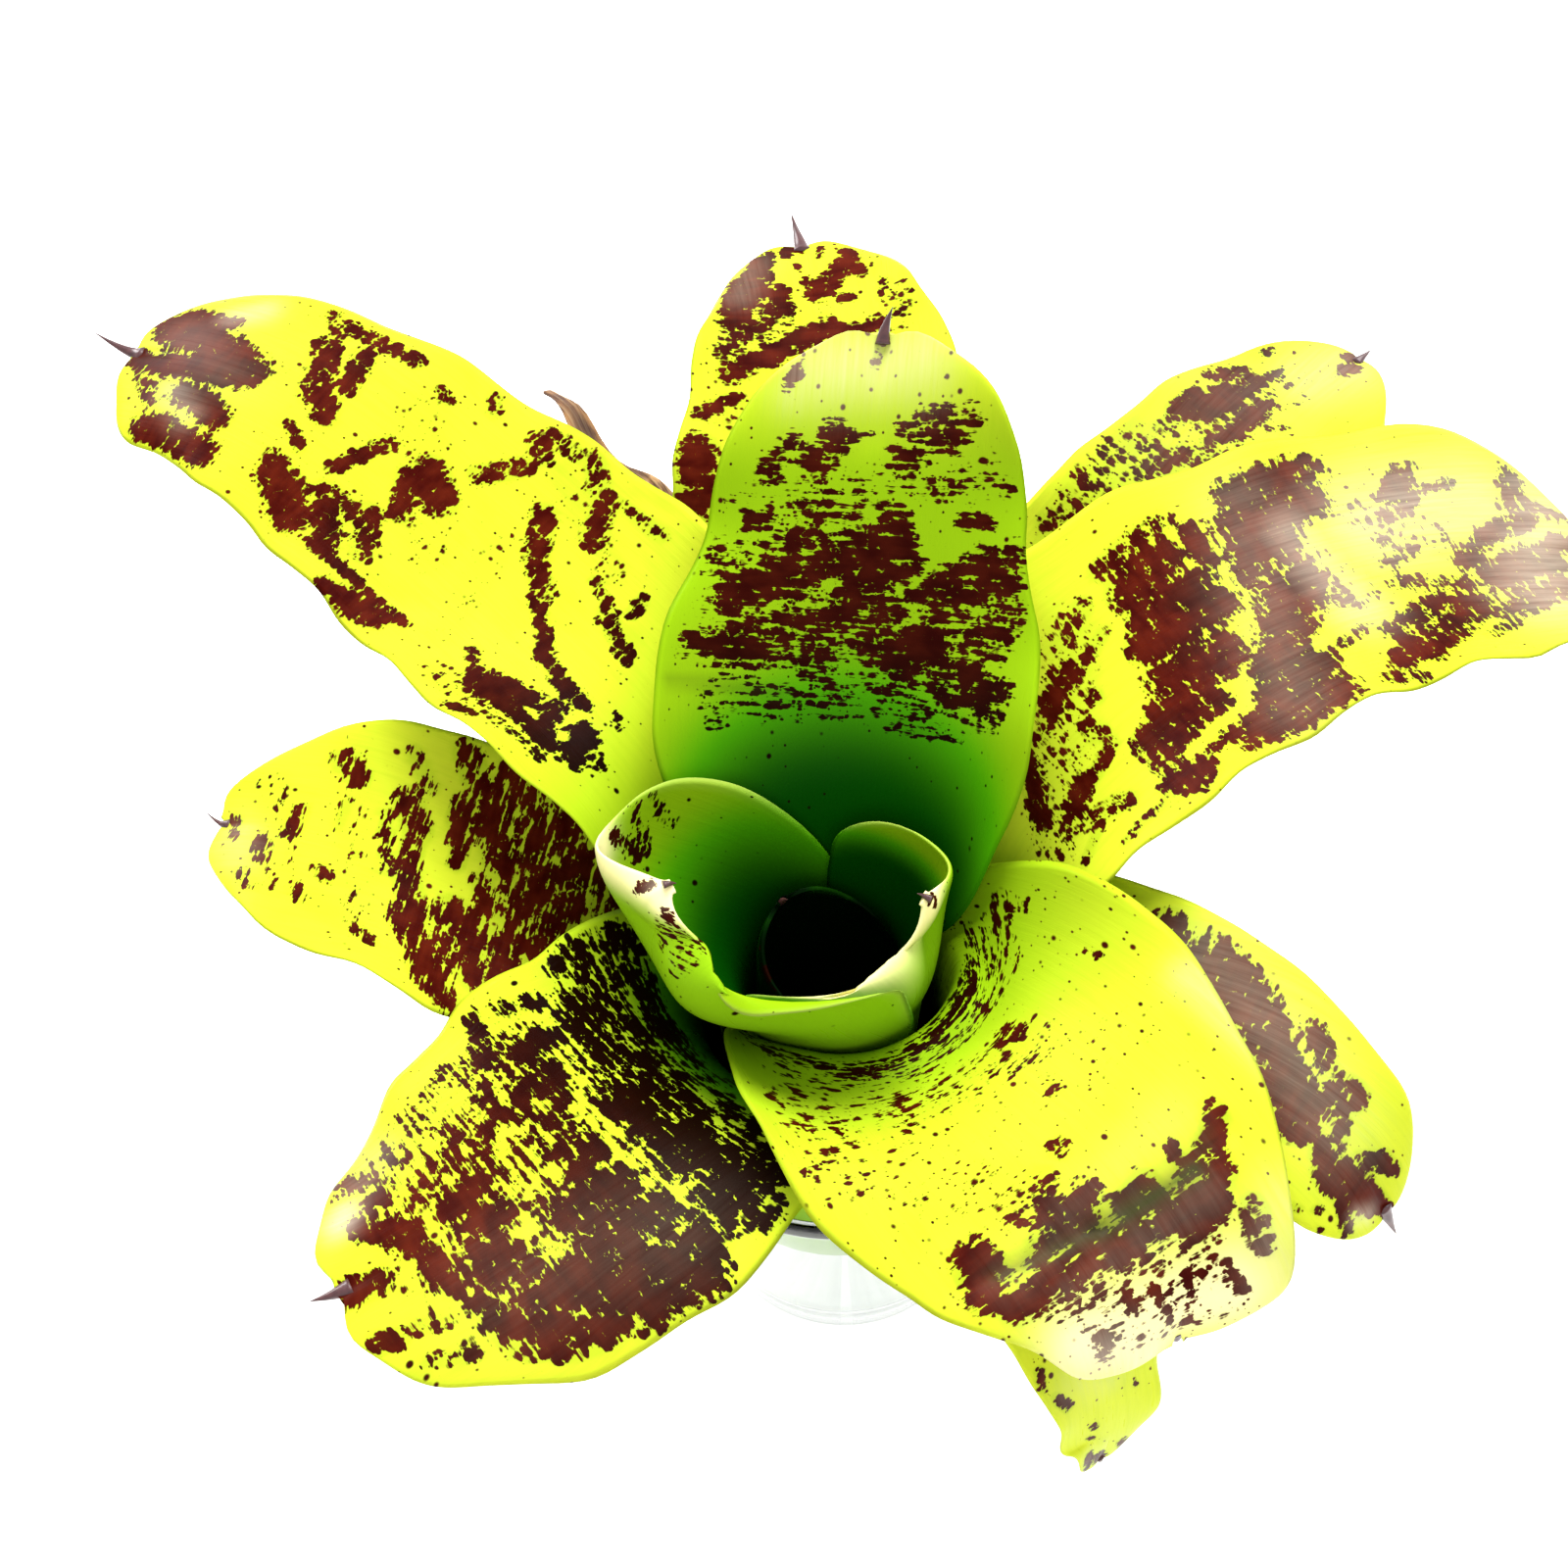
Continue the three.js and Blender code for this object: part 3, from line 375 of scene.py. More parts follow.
            (40, 12, 46, -10, 4, 0.8), (64, -12, 67, -13, 1, 0.95), (71, -11, 75, -9, 1.2, 0.85),
            (82, 6, 83, 6, 0.6, 0.9), (88, -4, 90, -3, 0.9, 0.8), (93, -5, 96, -4, 0.8, 0.9),
            (106, 4, 110, 5, 1.4, 0.6), (105, -6, 109, -5, 1.6, 0.8), (108, -2, 113, 0, 1.8, 0.75),
        ],
    ),
]

dryLeaf = dict(
    azimuth=99, collar=80, length=146, pitch=(19, 10, -14), sweep=34, twist=24,
    cup=(50, 50, 55, 40), half=(10, 7.5, 6), taper=0.7, roundness=1.4,
    scallop=(0.6, 0.6),
    nudges=[(60, 0, 118, 0, 16, 0, 0, -6), (138, 0, 146, 0, 8, 0, 0, 5)],
    marks=[(118, 6, 146, 4, 2, 0.85), (118, -6, 140, -5, 2, 0.8), (120, 0, 146, 0, 8, 0.85)],
)

stemSize = {"radius": 8, "gap": 0.35, "top": 56, "foot": 5.95}   # gap: to the innermost leaf

sheath = {
    "step": 1.8,           # how much wider each sheath bends than the one inside it
    "innerBowl": 3.5,      # bend radius of the innermost sheath
    "bowlCentre": 58.5,    # height of the bends' centre
    "tubePitch": 86,       # slope of the tube above the bend, degrees
    "baseWrap": 108,       # half the angle that a sheath reaches round the stem
    "bendRows": 12,
    "tubeRows": 10,
}

blade = {
    "thickness": 0.9,
    "edgeFullness": 10,    # power that rounds the edges
    "freeAfter": 0.25,     # share of the blade by which it has left the ring round the cup
    "sweepOnset": 1.5,     # powers that hold the turn and the roll back
    "twistOnset": 1.3,
    "rootHalf": 1.3,       # half width at the very end, under the spine
    "nudgeOnset": 7,
    "rowStep": 1.6,
    "leastRows": 8,
    "tipRows": 20,
    "columns": 56,
    "midribSteps": 240,
}

wave = {   # a slow ripple of both margins, which leaves shorter than youngLength don't have
    "height": 0.9, "length": 31, "endLag": 1.3, "youngLength": 60,
}

margin = {   # scallops of the margins, with smaller ones on them
    "length": 25, "second": 11, "secondShare": 0.15, "secondLag": 9,
    "depth": 6,            # how far in from the margin they die away
    "start": 9,            # distances out where they start and are whole
    "whole": 39,
    "narrow": 8,           # half width below which they die away
}

tip = {
    "lobeReach": 7,        # how far the shoulders lie to each side of the spine
    "lobeStart": 0.86,     # share of the blade where they begin
    "groove": 0.5,         # depth of the furrow that runs back from the spine
    "grooveHalf": 1.3,
    "grooveStart": 0.88,
}


def fade(x, start, end):
    # 0 at start, 1 at end and eased between; the start may also lie past the end
    share = np.clip((x - start) / (end - start), 0, 1)
    return share * share * (3 - 2 * share)


def through(values, q):
    # a smooth curve through evenly spaced values, q from 0 to 1
    values = np.asarray(values, float)
    last = len(values) - 1
    slope = np.gradient(values)
    i = np.minimum((q * last).astype(int), last - 1)
    t = q * last - i
    return ((1 + 2 * t) * (1 - t) ** 2 * values[i] + t * (1 - t) ** 2 * slope[i]
            + t * t * (3 - 2 * t) * values[i + 1] + t * t * (t - 1) * slope[i + 1])


def spread(radius, height, turn):
    # points round the Z axis, from radii, heights and turns that broadcast together
    return np.stack(np.broadcast_arrays(radius * np.cos(turn), radius * np.sin(turn), height), -1)


def frameAlong(leaf, q):
    # the blade's directions out, to its left and up, at shares q of its length
    pitch = through(np.radians([sheath["tubePitch"], *leaf["pitch"]]), q)
    heading = math.radians(leaf["sweep"]) * q ** blade["sweepOnset"]
    roll = math.radians(leaf["twist"]) * q ** blade["twistOnset"]
    along = np.stack([np.cos(pitch) * np.cos(heading), np.cos(pitch) * np.sin(heading),
                      np.sin(pitch)], -1)
    level = np.stack([-np.sin(heading), np.cos(heading), 0 * heading], -1)
    lift = np.cross(along, level)
    cos, sin = np.cos(roll)[..., None], np.sin(roll)[..., None]
    return along, level * cos + lift * sin, lift * cos - level * sin


def sheathSurface(leaf, layer, across):
    bend = sheath["innerBowl"] + layer * sheath["step"]
    hub = stemSize["radius"] + stemSize["gap"]
    full = math.radians(sheath["tubePitch"])
    tubeFoot = sheath["bowlCentre"] - bend * math.cos(full)
    tube = (leaf["collar"] - tubeFoot) / math.sin(full)
    out = np.concatenate([np.linspace(0, bend * full, sheath["bendRows"], endpoint=False),
                          bend * full + np.linspace(0, tube, sheath["tubeRows"])])
    angle = np.minimum(out / bend, full)
    beyond = np.maximum(0, out - bend * full)
    radius = hub + bend * np.sin(angle) + beyond * math.cos(full)
    height = sheath["bowlCentre"] - bend * np.cos(angle) + beyond * math.sin(full)
    base, mouth = math.radians(sheath["baseWrap"]), math.radians(leaf["cup"][0])
    wrap = base + (mouth - base) * fade(out, 0, out[-1])
    turn = wrap[:, None] * across
    points = spread(radius[:, None], height[:, None], turn)
    return points, out - out[-1], turn * radius[:, None], radius[-1]


def bladeShares(leaf):
    # even rows up to the taper, then rows spaced evenly round the end's outline
    body = max(blade["leastRows"], round(leaf["length"] * leaf["taper"] / blade["rowStep"]))
    even = np.arange(1, body + 1) / body * leaf["taper"]
    turn = np.linspace(0, math.pi / 2, blade["tipRows"] + 1)[1:]
    return np.concatenate([even, leaf["taper"] + (1 - leaf["taper"])
                           * np.sin(turn) ** (2 / leaf["roundness"])])


def midrib(leaf, collarRadius, q):
    steps = blade["midribSteps"]
    shares = np.arange(1, steps + 1) / steps
    start = np.array([[collarRadius, 0, leaf["collar"]]])
    path = start + np.cumsum(frameAlong(leaf, shares)[0], 0) * leaf["length"] / steps
    path = np.concatenate([start, path])
    known = np.arange(steps + 1) / steps
    return np.stack([np.interp(q, known, path[:, k]) for k in range(3)], -1)


def scalloped(leaf, out, across, half):
    # swings the margins in and out a little, fading towards the midrib and at both ends
    left, right = leaf["scallop"]
    swing = (np.sin(2 * math.pi * out / margin["length"] + leaf["azimuth"])
             + margin["secondShare"] * np.sin(2 * math.pi * out / margin["second"]
                                              + left * margin["secondLag"]))
    size = np.where(across > 0, left, right) * fade(out, margin["start"], margin["whole"])
    inside = half * (1 - np.abs(across))
    kept = np.exp(-inside / margin["depth"]) * fade(half, 0, margin["narrow"])
    return np.sign(across) * size * swing * kept


def strokeGap(out, reach, x0, y0, x1, y1):
    # distance on the leaf from the straight stroke between two points
    dx, dy = x1 - x0, y1 - y0
    share = ((out - x0) * dx + (reach - y0) * dy) / max(dx * dx + dy * dy, 1e-6)
    share = np.clip(share, 0, 1)
    return np.hypot(out - x0 - share * dx, reach - y0 - share * dy)


def nudged(leaf, out, reach, points, along, side, up):
    for *ends, radius, push, slide, lift in leaf["nudges"]:
        near = np.exp(-(strokeGap(out, reach, *ends) / radius) ** 2)
        near *= fade(out, 0, blade["nudgeOnset"])
        move = push * along + slide * side + lift * up
        points = points + near[..., None] * move[:, None]
    return points


def bladeSurface(leaf, collarRadius, across):
    q = bladeShares(leaf)
    middle = midrib(leaf, collarRadius, q)
    along, side, up = frameAlong(leaf, q)
    cups = np.radians(leaf["cup"])
    full = through([collarRadius * cups[0], *leaf["half"]], q)
    rounding = np.clip((q - leaf["taper"]) / (1 - leaf["taper"]), 0, 1)
    narrowed = (1 - rounding ** leaf["roundness"]) ** (1 / leaf["roundness"])
    half = np.maximum(full * narrowed, blade["rootHalf"])
    bend = (through(cups, q) / full)[:, None]
    bend = np.where(np.abs(bend) < 1e-5, 1e-5, bend)   # never quite flat
    reach = half[:, None] * across
    out = q[:, None] * leaf["length"]
    rippled = wave["height"] * fade(leaf["length"], wave["youngLength"], 2 * wave["youngLength"])
    ripple = (rippled * fade(q, blade["freeAfter"], 2 * blade["freeAfter"])[:, None]
              * np.abs(across) ** 3 * (half / full)[:, None]
              * np.sin(2 * math.pi * out / wave["length"] + wave["endLag"] * np.sign(across)))
    shoulder = np.abs(reach) / tip["lobeReach"]
    forward = (leaf["lobes"] * fade(q, tip["lobeStart"], 1)[:, None]
               * shoulder ** 2 * np.exp(1 - shoulder ** 2))
    furrow = (tip["groove"] * fade(q, tip["grooveStart"], 1)[:, None]
              * np.exp(-(reach / tip["grooveHalf"]) ** 2)) * (1 if leaf["lobes"] else 0)
    outward = scalloped(leaf, out, across, half[:, None])
    rise = (1 - np.cos(reach * bend)) / bend + ripple - furrow
    points = (middle[:, None]
              + side[:, None] * (np.sin(reach * bend) / bend + outward)[..., None]
              + up[:, None] * rise[..., None] + along[:, None] * forward[..., None])
    radius = np.hypot(middle[:, 0], middle[:, 1])[:, None]
    ring = spread(radius, middle[:, 2:3], reach / collarRadius)
    free = fade(q, 0, blade["freeAfter"])[:, None, None]
    points = ring * (1 - free) + points * free
    return nudged(leaf, out, reach, points, along, side, up), q * leaf["length"], reach


def leafSurface(leaf, layer):
    # the leaf's upper face as rows of points, with each point's distance out and across
    across = np.linspace(-1, 1, blade["columns"] + 1)
    lower, outLow, reachLow, collarRadius = sheathSurface(leaf, layer, across)
    upper, outHigh, reachHigh = bladeSurface(leaf, collarRadius, across)
    points = np.concatenate([lower, upper])
    out = np.concatenate([outLow, outHigh])[:, None] + 0 * across
    reach = np.concatenate([reachLow, reachHigh])
    return turnedTo(points, leaf["azimuth"]), out, reach, across, collarRadius


def turnedTo(points, azimuth):
    cos, sin = math.cos(math.radians(azimuth)), math.sin(math.radians(azimuth))
    x, y, z = points[..., 0], points[..., 1], points[..., 2]
    return np.stack([x * cos - y * sin, x * sin + y * cos, z], -1)


def facing(points):
    # unit normals of a grid of points, towards the sky or the tube
    normal = np.cross(np.gradient(points, axis=0), np.gradient(points, axis=1))
    return normal / np.maximum(np.linalg.norm(normal, axis=-1, keepdims=True), 1e-9)


def closedSkin(points, across):
    # loops of points round the blade's section: the upper face, then the lower one backwards
    thickness = blade["thickness"]
    normal = facing(points)
    core = points - normal * thickness / 2
    swell = thickness / 2 * np.sqrt(1 - np.abs(across) ** blade["edgeFullness"])[None, :, None]
    return np.concatenate([core + normal * swell, (core - normal * swell)[:, -2:0:-1]], 1)


def skinFaces(rows, columns):
    # quads round and along the loops, and a strip of quads across each end
    size = 2 * (columns - 1)
    faces = []
    for i in range(rows - 1):
        for j in range(size):
            k = (j + 1) % size
            faces.append((i * size + j, (i + 1) * size + j, (i + 1) * size + k, i * size + k))
    for start, turn in ((0, 1), ((rows - 1) * size, -1)):
        faces.append([start + n for n in (0, 1, size - 1)][::turn])
        for j in range(1, columns - 2):
            faces.append([start + n for n in (j, j + 1, size - j - 1, size - j)][::turn])
        faces.append([start + n for n in (columns - 2, columns - 1, columns)][::turn])
    return faces


def tubeFaces(rows, sides):
    # quads between rings of points
    return [(i * sides + j, i * sides + (j + 1) % sides,
             (i + 1) * sides + (j + 1) % sides, (i + 1) * sides + j)
            for i in range(rows - 1) for j in range(sides)]


def aroundLoop(values):
    # the same value on the upper face and on the lower one
    return np.concatenate([values, values[:, -2:0:-1]], 1).ravel()


patch = {
    "core": 0.45,          # a stroke is whole within core and gone past edge, in radii
    "edge": 1.6,
    "dots": 0.75,          # how often small dots stand beside the strokes
    "dotsFrom": 0.8,       # in radii
    "dotsReach": 9,
    "rim": 2.6,            # mm inside the margin where the patches thin out
    "rimFill": 0.45,       # what is left of their fill at the margin
    # painted shade near the cup darkens the patches there
    "fromBlack": 55,       # mm over which the patches turn from near-black to brown
    "leafShift": 73,       # moves the pattern on from leaf to leaf
}


def markFill(out, reach, across, marks):
    # how full of brown each point is, from strokes with soft sides, and how near it is to them
    fill, near = np.zeros_like(out), np.zeros_like(out)
    for *ends, radius, strength in marks:
        gap = strokeGap(out, reach, *ends)
        fill = np.maximum(fill, strength * fade(gap / radius, patch["edge"], patch["core"]))
        beside = gap - radius * patch["dotsFrom"]
        near = np.maximum(near, strength * fade(beside, patch["dotsReach"], 0))
    inside = reach[:, -1:] * (1 - np.abs(across))
    rim = fade(inside, 0, patch["rim"])
    return fill * (patch["rimFill"] + (1 - patch["rimFill"]) * rim), near * rim


def brushed(out, reach, strokes):
    # soft strokes of paint, as (out, across, out, across, radius, strength)
    paint = np.zeros_like(out)
    for *ends, radius, strength in strokes:
        soft = np.exp(-(strokeGap(out, reach, *ends) / radius) ** 2)
        paint = np.maximum(paint, strength * soft)
    return paint


# the cup's painted shade, and the pale ends and rims of young leaves
cupLook = {
    "bay": 0.5,            # how much sooner the dark fades at the margins, as a share of its fade
    "palest": 0.8,         # how much of the dark pale flesh keeps off
    # painted black shade at the bottom of the cup
    "wellTop": 4,          # distances out where the black of the well ends and is whole
    "wellFull": -12,
    "youngOver": 30,       # leaves longer than this and shorter than that are young,
    "youngUnder": 80,      # with pale ends and rims
    "endFrom": 0.86,       # share of the leaf where its end turns pale
    "rim": 0.15,           # paleness of the rim
    "rimFrom": 0.95,       # share of the half width
    "rimStart": 6,         # distances out where the rim starts to turn pale and has turned
    "rimWhole": 18,
}


def cupShade(leaf, out, across):
    # the cup's dark green, partly painted shade, reaching further out along the midrib than the margins
    start, end = leaf["cupGreenAndShade"]
    bay = (end - start) * cupLook["bay"] * across ** 2
    return fade(out + bay, end, start)


def paleFlesh(leaf, out, reach, across):
    pale = brushed(out, reach, leaf["cream"])
    if cupLook["youngOver"] < leaf["length"] < cupLook["youngUnder"]:
        rim = fade(np.abs(across), cupLook["rimFrom"], 1)
        rim = rim * fade(out, cupLook["rimStart"], cupLook["rimWhole"])
        pale = pale + cupLook["rim"] * rim
        pale = pale + fade(out, leaf["length"] * cupLook["endFrom"], leaf["length"])
    return np.clip(pale, 0, 1)


thorn = {
    "root": 0.65,          # half width at the root, more on a long thorn
    "rootShare": 0.17,
    "point": 0.05,
    "flat": 0.5,           # height for width at the root, and further out
    "round": 0.95,
    "flatPart": 1 / 2.2,   # share of its length by which it has turned round
    "sunk": 1.6,
    "drop": 0.1,
    "bow": 1.6,            # power of its curve
    "sides": 14,
    "rows": 14,
}


def spineMesh(leaf, root):
    # a horn that grows out of the leaf's end: flat and wide at its root, then round and slender
    length, slide, lift = leaf["spine"]
    sides, rows = thorn["sides"], thorn["rows"]
    end = np.array([1.0])
    along, side, up = (turnedTo(a, leaf["azimuth"])[0] for a in frameAlong(leaf, end))
    centre = turnedTo(midrib(leaf, root, end), leaf["azimuth"])[0]
    share = np.linspace(0, 1, rows)
    reach = share * (thorn["sunk"] + length) - thorn["sunk"]
    bowed = (np.maximum(reach, 0) / length) ** thorn["bow"]
    wide = (thorn["root"] + thorn["rootShare"] * length) * (1 - share) + thorn["point"]
    high = wide * (thorn["flat"] + (thorn["round"] - thorn["flat"])
                   * fade(share, 0, thorn["flatPart"]))
    path = (centre + along * reach[:, None] + side * (slide * bowed)[:, None]
            + up * (lift * bowed - blade["thickness"] / 2 - thorn["drop"])[:, None])
    turn = np.linspace(0, 2 * math.pi, sides, endpoint=False)
    ring = (side * (np.cos(turn) * wide[:, None])[..., None]
            + up * (np.sin(turn) * high[:, None])[..., None])
    faces = tubeFaces(rows, sides)
    faces.append(tuple(range(sides))[::-1])
    faces.append(tuple((rows - 1) * sides + j for j in range(sides)))
    return (path[:, None] + ring).reshape(-1, 3), faces


def meshPiece(name, points, faces, materials, slots=None):
    mesh = bpy.data.meshes.new(name)
    mesh.from_pydata((np.asarray(points) * mm).tolist(), [], faces)
    for material in materials:
        mesh.materials.append(material)
    if slots is not None:
        mesh.polygons.foreach_set("material_index", slots)
    work = bmesh.new()
    work.from_mesh(mesh)
    bmesh.ops.recalc_face_normals(work, faces=work.faces)
    work.to_mesh(mesh)
    work.free()
    mesh.shade_smooth()
    return added(name, mesh)


def paintPoints(piece, name, values):
    layer = piece.data.attributes.new(name, "FLOAT", "POINT")
    layer.data.foreach_set("value", np.asarray(values, np.float32))


def placeMap(piece, out, reach):
    # a UV map in centimetres along and across, so that patterns follow the leaf
    layer = piece.data.uv_layers.new(name="leafPlace")
    corner = np.zeros(len(piece.data.loops), np.int32)
    piece.data.loops.foreach_get("vertex_index", corner)
    layer.data.foreach_set("uv", (np.stack([out, reach], -1)[corner] / 10).ravel())


def makeLeaf(leaf, layer, name, materials):
    leaf = {**plainLeaf, **leaf}
    points, out, reach, across, root = leafSurface(leaf, layer)
    rows, columns = points.shape[:2]
    skin = closedSkin(points, across).reshape(-1, 3)
    faces = skinFaces(rows, columns)
    slots = [0] * len(faces)
    under = np.tile(np.concatenate([0 * across, 1 + 0 * across[:-2]]), rows)
    pale = paleFlesh(leaf, out, reach, across)
    fill, near = markFill(out, reach, across, leaf["marks"])
    inmost = 1 if layer == 0 else 0
    shadedFaces = np.maximum(1 - under, inmost)   # the painted shade of the cup lies on the upper faces only
    # the cup's dark green with its painted shade, kept off pale flesh
    dark = cupShade(leaf, out, across) * (1 - cupLook["palest"] * pale)
    # painted black shade at the bottom of the cup and over the innermost leaf, but not its pale parts
    wellShade = np.maximum(fade(out, cupLook["wellTop"], cupLook["wellFull"]), inmost * (1 - pale))
    fields = {
        "fill": aroundLoop(fill),
        "dots": aroundLoop(leaf["dots"] + near * (patch["dots"] - leaf["dots"])),
        "green": aroundLoop(fade(out, *leaf["green"][::-1])),
        "cupGreenAndShade": aroundLoop(dark) * shadedFaces,
        "wellShade": aroundLoop(wellShade) * shadedFaces,
        "young": aroundLoop(pale),
        "waxAndSheen": aroundLoop(brushed(out, reach, leaf["waxAndSheen"])),
        "foldShade": aroundLoop(brushed(out, reach, leaf["foldShade"])),
        # painted shade that turns the patches near-black near the cup
        "shade": aroundLoop(fade(out, leaf["black"], leaf["black"] - patch["fromBlack"])),
        "torn": aroundLoop(leaf["torn"] + 0 * out),
        "under": under,
    }
    out, reach = aroundLoop(out + patch["leafShift"] * layer), aroundLoop(reach)
    extra = 0
    if leaf["lobes"]:
        spike, spikeFaces = spineMesh(leaf, root)
        faces = faces + [tuple(n + len(skin) for n in face) for face in spikeFaces]
        slots += [1] * len(spikeFaces)
        skin = np.concatenate([skin, spike])
        extra = len(spike)
    piece = meshPiece(name, skin, faces, materials, slots)
    pad = np.zeros(extra)
    for label, values in fields.items():
        paintPoints(piece, label, np.concatenate([values, pad]))
    placeMap(piece, np.concatenate([out, pad]), np.concatenate([reach, pad]))
    return piece


# Helpers that build shader and geometry trees

nodeGrid = {"width": 190, "height": 220, "columns": 9}


def feed(tree, node, inputs):
    # wires or fills a node's inputs
    for key, value in inputs.items():
        if isinstance(value, bpy.types.NodeSocket):
            tree.links.new(value, node.inputs[key])
        else:
            node.inputs[key].default_value = value


def put(tree, kind, inputs=None, **settings):
    # adds a node, sets it up and feeds it
    made = tree.nodes.new(kind)
    row, column = divmod(len(tree.nodes), nodeGrid["columns"])
    made.location = (nodeGrid["width"] * column, -nodeGrid["height"] * row)
    for name, value in settings.items():
        setattr(made, name, value)
    feed(tree, made, inputs or {})
    return made


def sums(tree, operation, *values):
    return put(tree, "ShaderNodeMath", dict(enumerate(values)), operation=operation).outputs[0]


def times(tree, first, second):
    return sums(tree, "MULTIPLY", first, second)


def band(tree, value, low, high):
    # 0 below low, 1 above high, eased between
    return put(tree, "ShaderNodeMapRange", {"Value": value, "From Min": low, "From Max": high},
               interpolation_type="SMOOTHSTEP").outputs["Result"]


def blend(tree, share, first, second):
    # mixes two colours, which are the node's sockets 6 and 7
    return put(tree, "ShaderNodeMix", {0: share, 6: first, 7: second},
               data_type="RGBA").outputs[2]


def scaled(tree, vector, factors):
    return put(tree, "ShaderNodeVectorMath", {0: vector, 1: factors},
               operation="MULTIPLY").outputs[0]


def joined(tree, x, y, z):
    return put(tree, "ShaderNodeCombineXYZ", {0: x, 1: y, 2: z}).outputs[0]


def noise(tree, vector, scale=1.0, detail=2.0, roughness=0.5):
    return put(tree, "ShaderNodeTexNoise", {"Vector": vector, "Scale": scale, "Detail": detail,
                                            "Roughness": roughness}).outputs["Fac"]


def attribute(tree, name):
    return put(tree, "ShaderNodeAttribute", attribute_name=name).outputs["Fac"]


def leafPlace(tree):
    return put(tree, "ShaderNodeUVMap", uv_map="leafPlace").outputs["UV"]


def objectPlace(tree):
    return put(tree, "ShaderNodeTexCoord").outputs["Object"]


def bumped(tree, height, strength, distance):
    return put(tree, "ShaderNodeBump", {"Height": height, "Strength": strength,
                                        "Distance": distance}).outputs["Normal"]


def newGroup(name, inputs, outputs):
    # a shader node group with named sockets; returns its tree, input node and output node
    tree = bpy.data.node_groups.new(name, "ShaderNodeTree")
    for label, kind, value in inputs:
        socket = tree.interface.new_socket(label, in_out="INPUT", socket_type=kind)
        if value is not None:
            socket.default_value = value
    for label in outputs:
        tree.interface.new_socket(label, in_out="OUTPUT", socket_type="NodeSocketFloat")
    return tree, tree.nodes.new("NodeGroupInput").outputs, tree.nodes.new("NodeGroupOutput")


def useGroup(tree, group, inputs):
    made = tree.nodes.new("ShaderNodeGroup")
    made.node_tree = group
    feed(tree, made, inputs)
    return made.outputs


def newMaterial(name, constants):
    # a material with its Principled shader; constants are set on the shader's own sockets
    material = bpy.data.materials.new(name)
    material.use_nodes = True
    tree = material.node_tree
    shader = tree.nodes["Principled BSDF"]
    feed(tree, shader, constants)
    return material, tree, shader


mottling = {   # scales are per centimetre, along and across the leaf
    "inside": (0.02, 0.3),                # fills where a patch starts and is whole
    "streaks": (8.6, 1.15, 1),
    "streakDetail": 3.0,
    "streakRoughness": 0.55,
    "tear": (2.8, -1.45),                 # gain and offset of the streaks
    "dots": ((6.0, 5.0, 1), (12, 9.6, 1)),
    "dotGain": (1.15, 1.1),
    "dotOffset": (-0.3, -0.4),
    "dotChance": 0.55,
    "dotEdge": (-0.09, 0.13),
    "loneDots": ((2.7, 3.0, 1), (5.4, 6.1, 1)),
    "loneSize": (1.2, 0.6),               # random part and smallest
    "loneEdge": (-0.05, 0.05),
    "clouds": (2.4, 1.5, 1),              # of light and dark brown
    "streakTone": 0.25,                   # share of the streaks in the tone
}


def dotCells(tree, place, scale):
    # scattered dots: the distance from the nearest one's middle, and its random numbers
    cells = put(tree, "ShaderNodeTexVoronoi", {"Vector": scaled(tree, place, scale),
                                               "Scale": 1.0}).outputs
    chances = put(tree, "ShaderNodeSeparateColor", {0: cells["Color"]}).outputs
    return cells["Distance"], chances[0], chances[1]


def mottleGroup():
    # patches of pigment made of merging dots, from a soft fill value and a place in centimetres
    tree, given, result = newGroup(
        "mottle",
        [("Place", "NodeSocketVector", None), ("Fill", "NodeSocketFloat", 0.0),
         ("Dot Size", "NodeSocketFloat", 0.1), ("Dot Share", "NodeSocketFloat", 0.3),
         ("Torn", "NodeSocketFloat", 1.0)],
        ["Mask", "Tone"])
    place, fill, look = given["Place"], given["Fill"], mottling
    streaks = noise(tree, scaled(tree, place, look["streaks"]),
                    detail=look["streakDetail"], roughness=look["streakRoughness"])
    ragged = sums(tree, "MULTIPLY_ADD", streaks, *look["tear"])
    ragged = times(tree, ragged, given["Torn"])
    inside = band(tree, fill, *look["inside"])
    level = sums(tree, "ADD", fill, times(tree, ragged, inside))
    spots = 0.0
    for scale, gain, offset in zip(look["dots"], look["dotGain"], look["dotOffset"]):
        gap, chance = dotCells(tree, place, scale)[:2]
        chance = sums(tree, "MULTIPLY_ADD", chance, look["dotChance"], offset)
        size = times(tree, sums(tree, "ADD", level, chance), gain)
        near = sums(tree, "SUBTRACT", times(tree, size, inside), gap)
        spots = sums(tree, "MAXIMUM", spots, band(tree, near, *look["dotEdge"]))
    for scale in look["loneDots"]:
        gap, chance, large = dotCells(tree, place, scale)
        chosen = sums(tree, "LESS_THAN", chance, given["Dot Share"])
        size = sums(tree, "MULTIPLY_ADD", large, *look["loneSize"])
        near = sums(tree, "SUBTRACT", times(tree, size, given["Dot Size"]), gap)
        here = times(tree, chosen, band(tree, near, *look["loneEdge"]))
        spots = sums(tree, "MAXIMUM", spots, here)
    clouds = noise(tree, scaled(tree, place, look["clouds"]))
    clouds = times(tree, clouds, 1 - look["streakTone"])
    tone = sums(tree, "MULTIPLY_ADD", streaks, look["streakTone"], clouds)
    feed(tree, result, {"Mask": spots, "Tone": tone})
    return tree


ribbing = {   # streak: rib heights where a light line starts to show and shows whole
    "detail": 3.0, "roughness": 0.65, "streak": (0.42, 0.68),
}


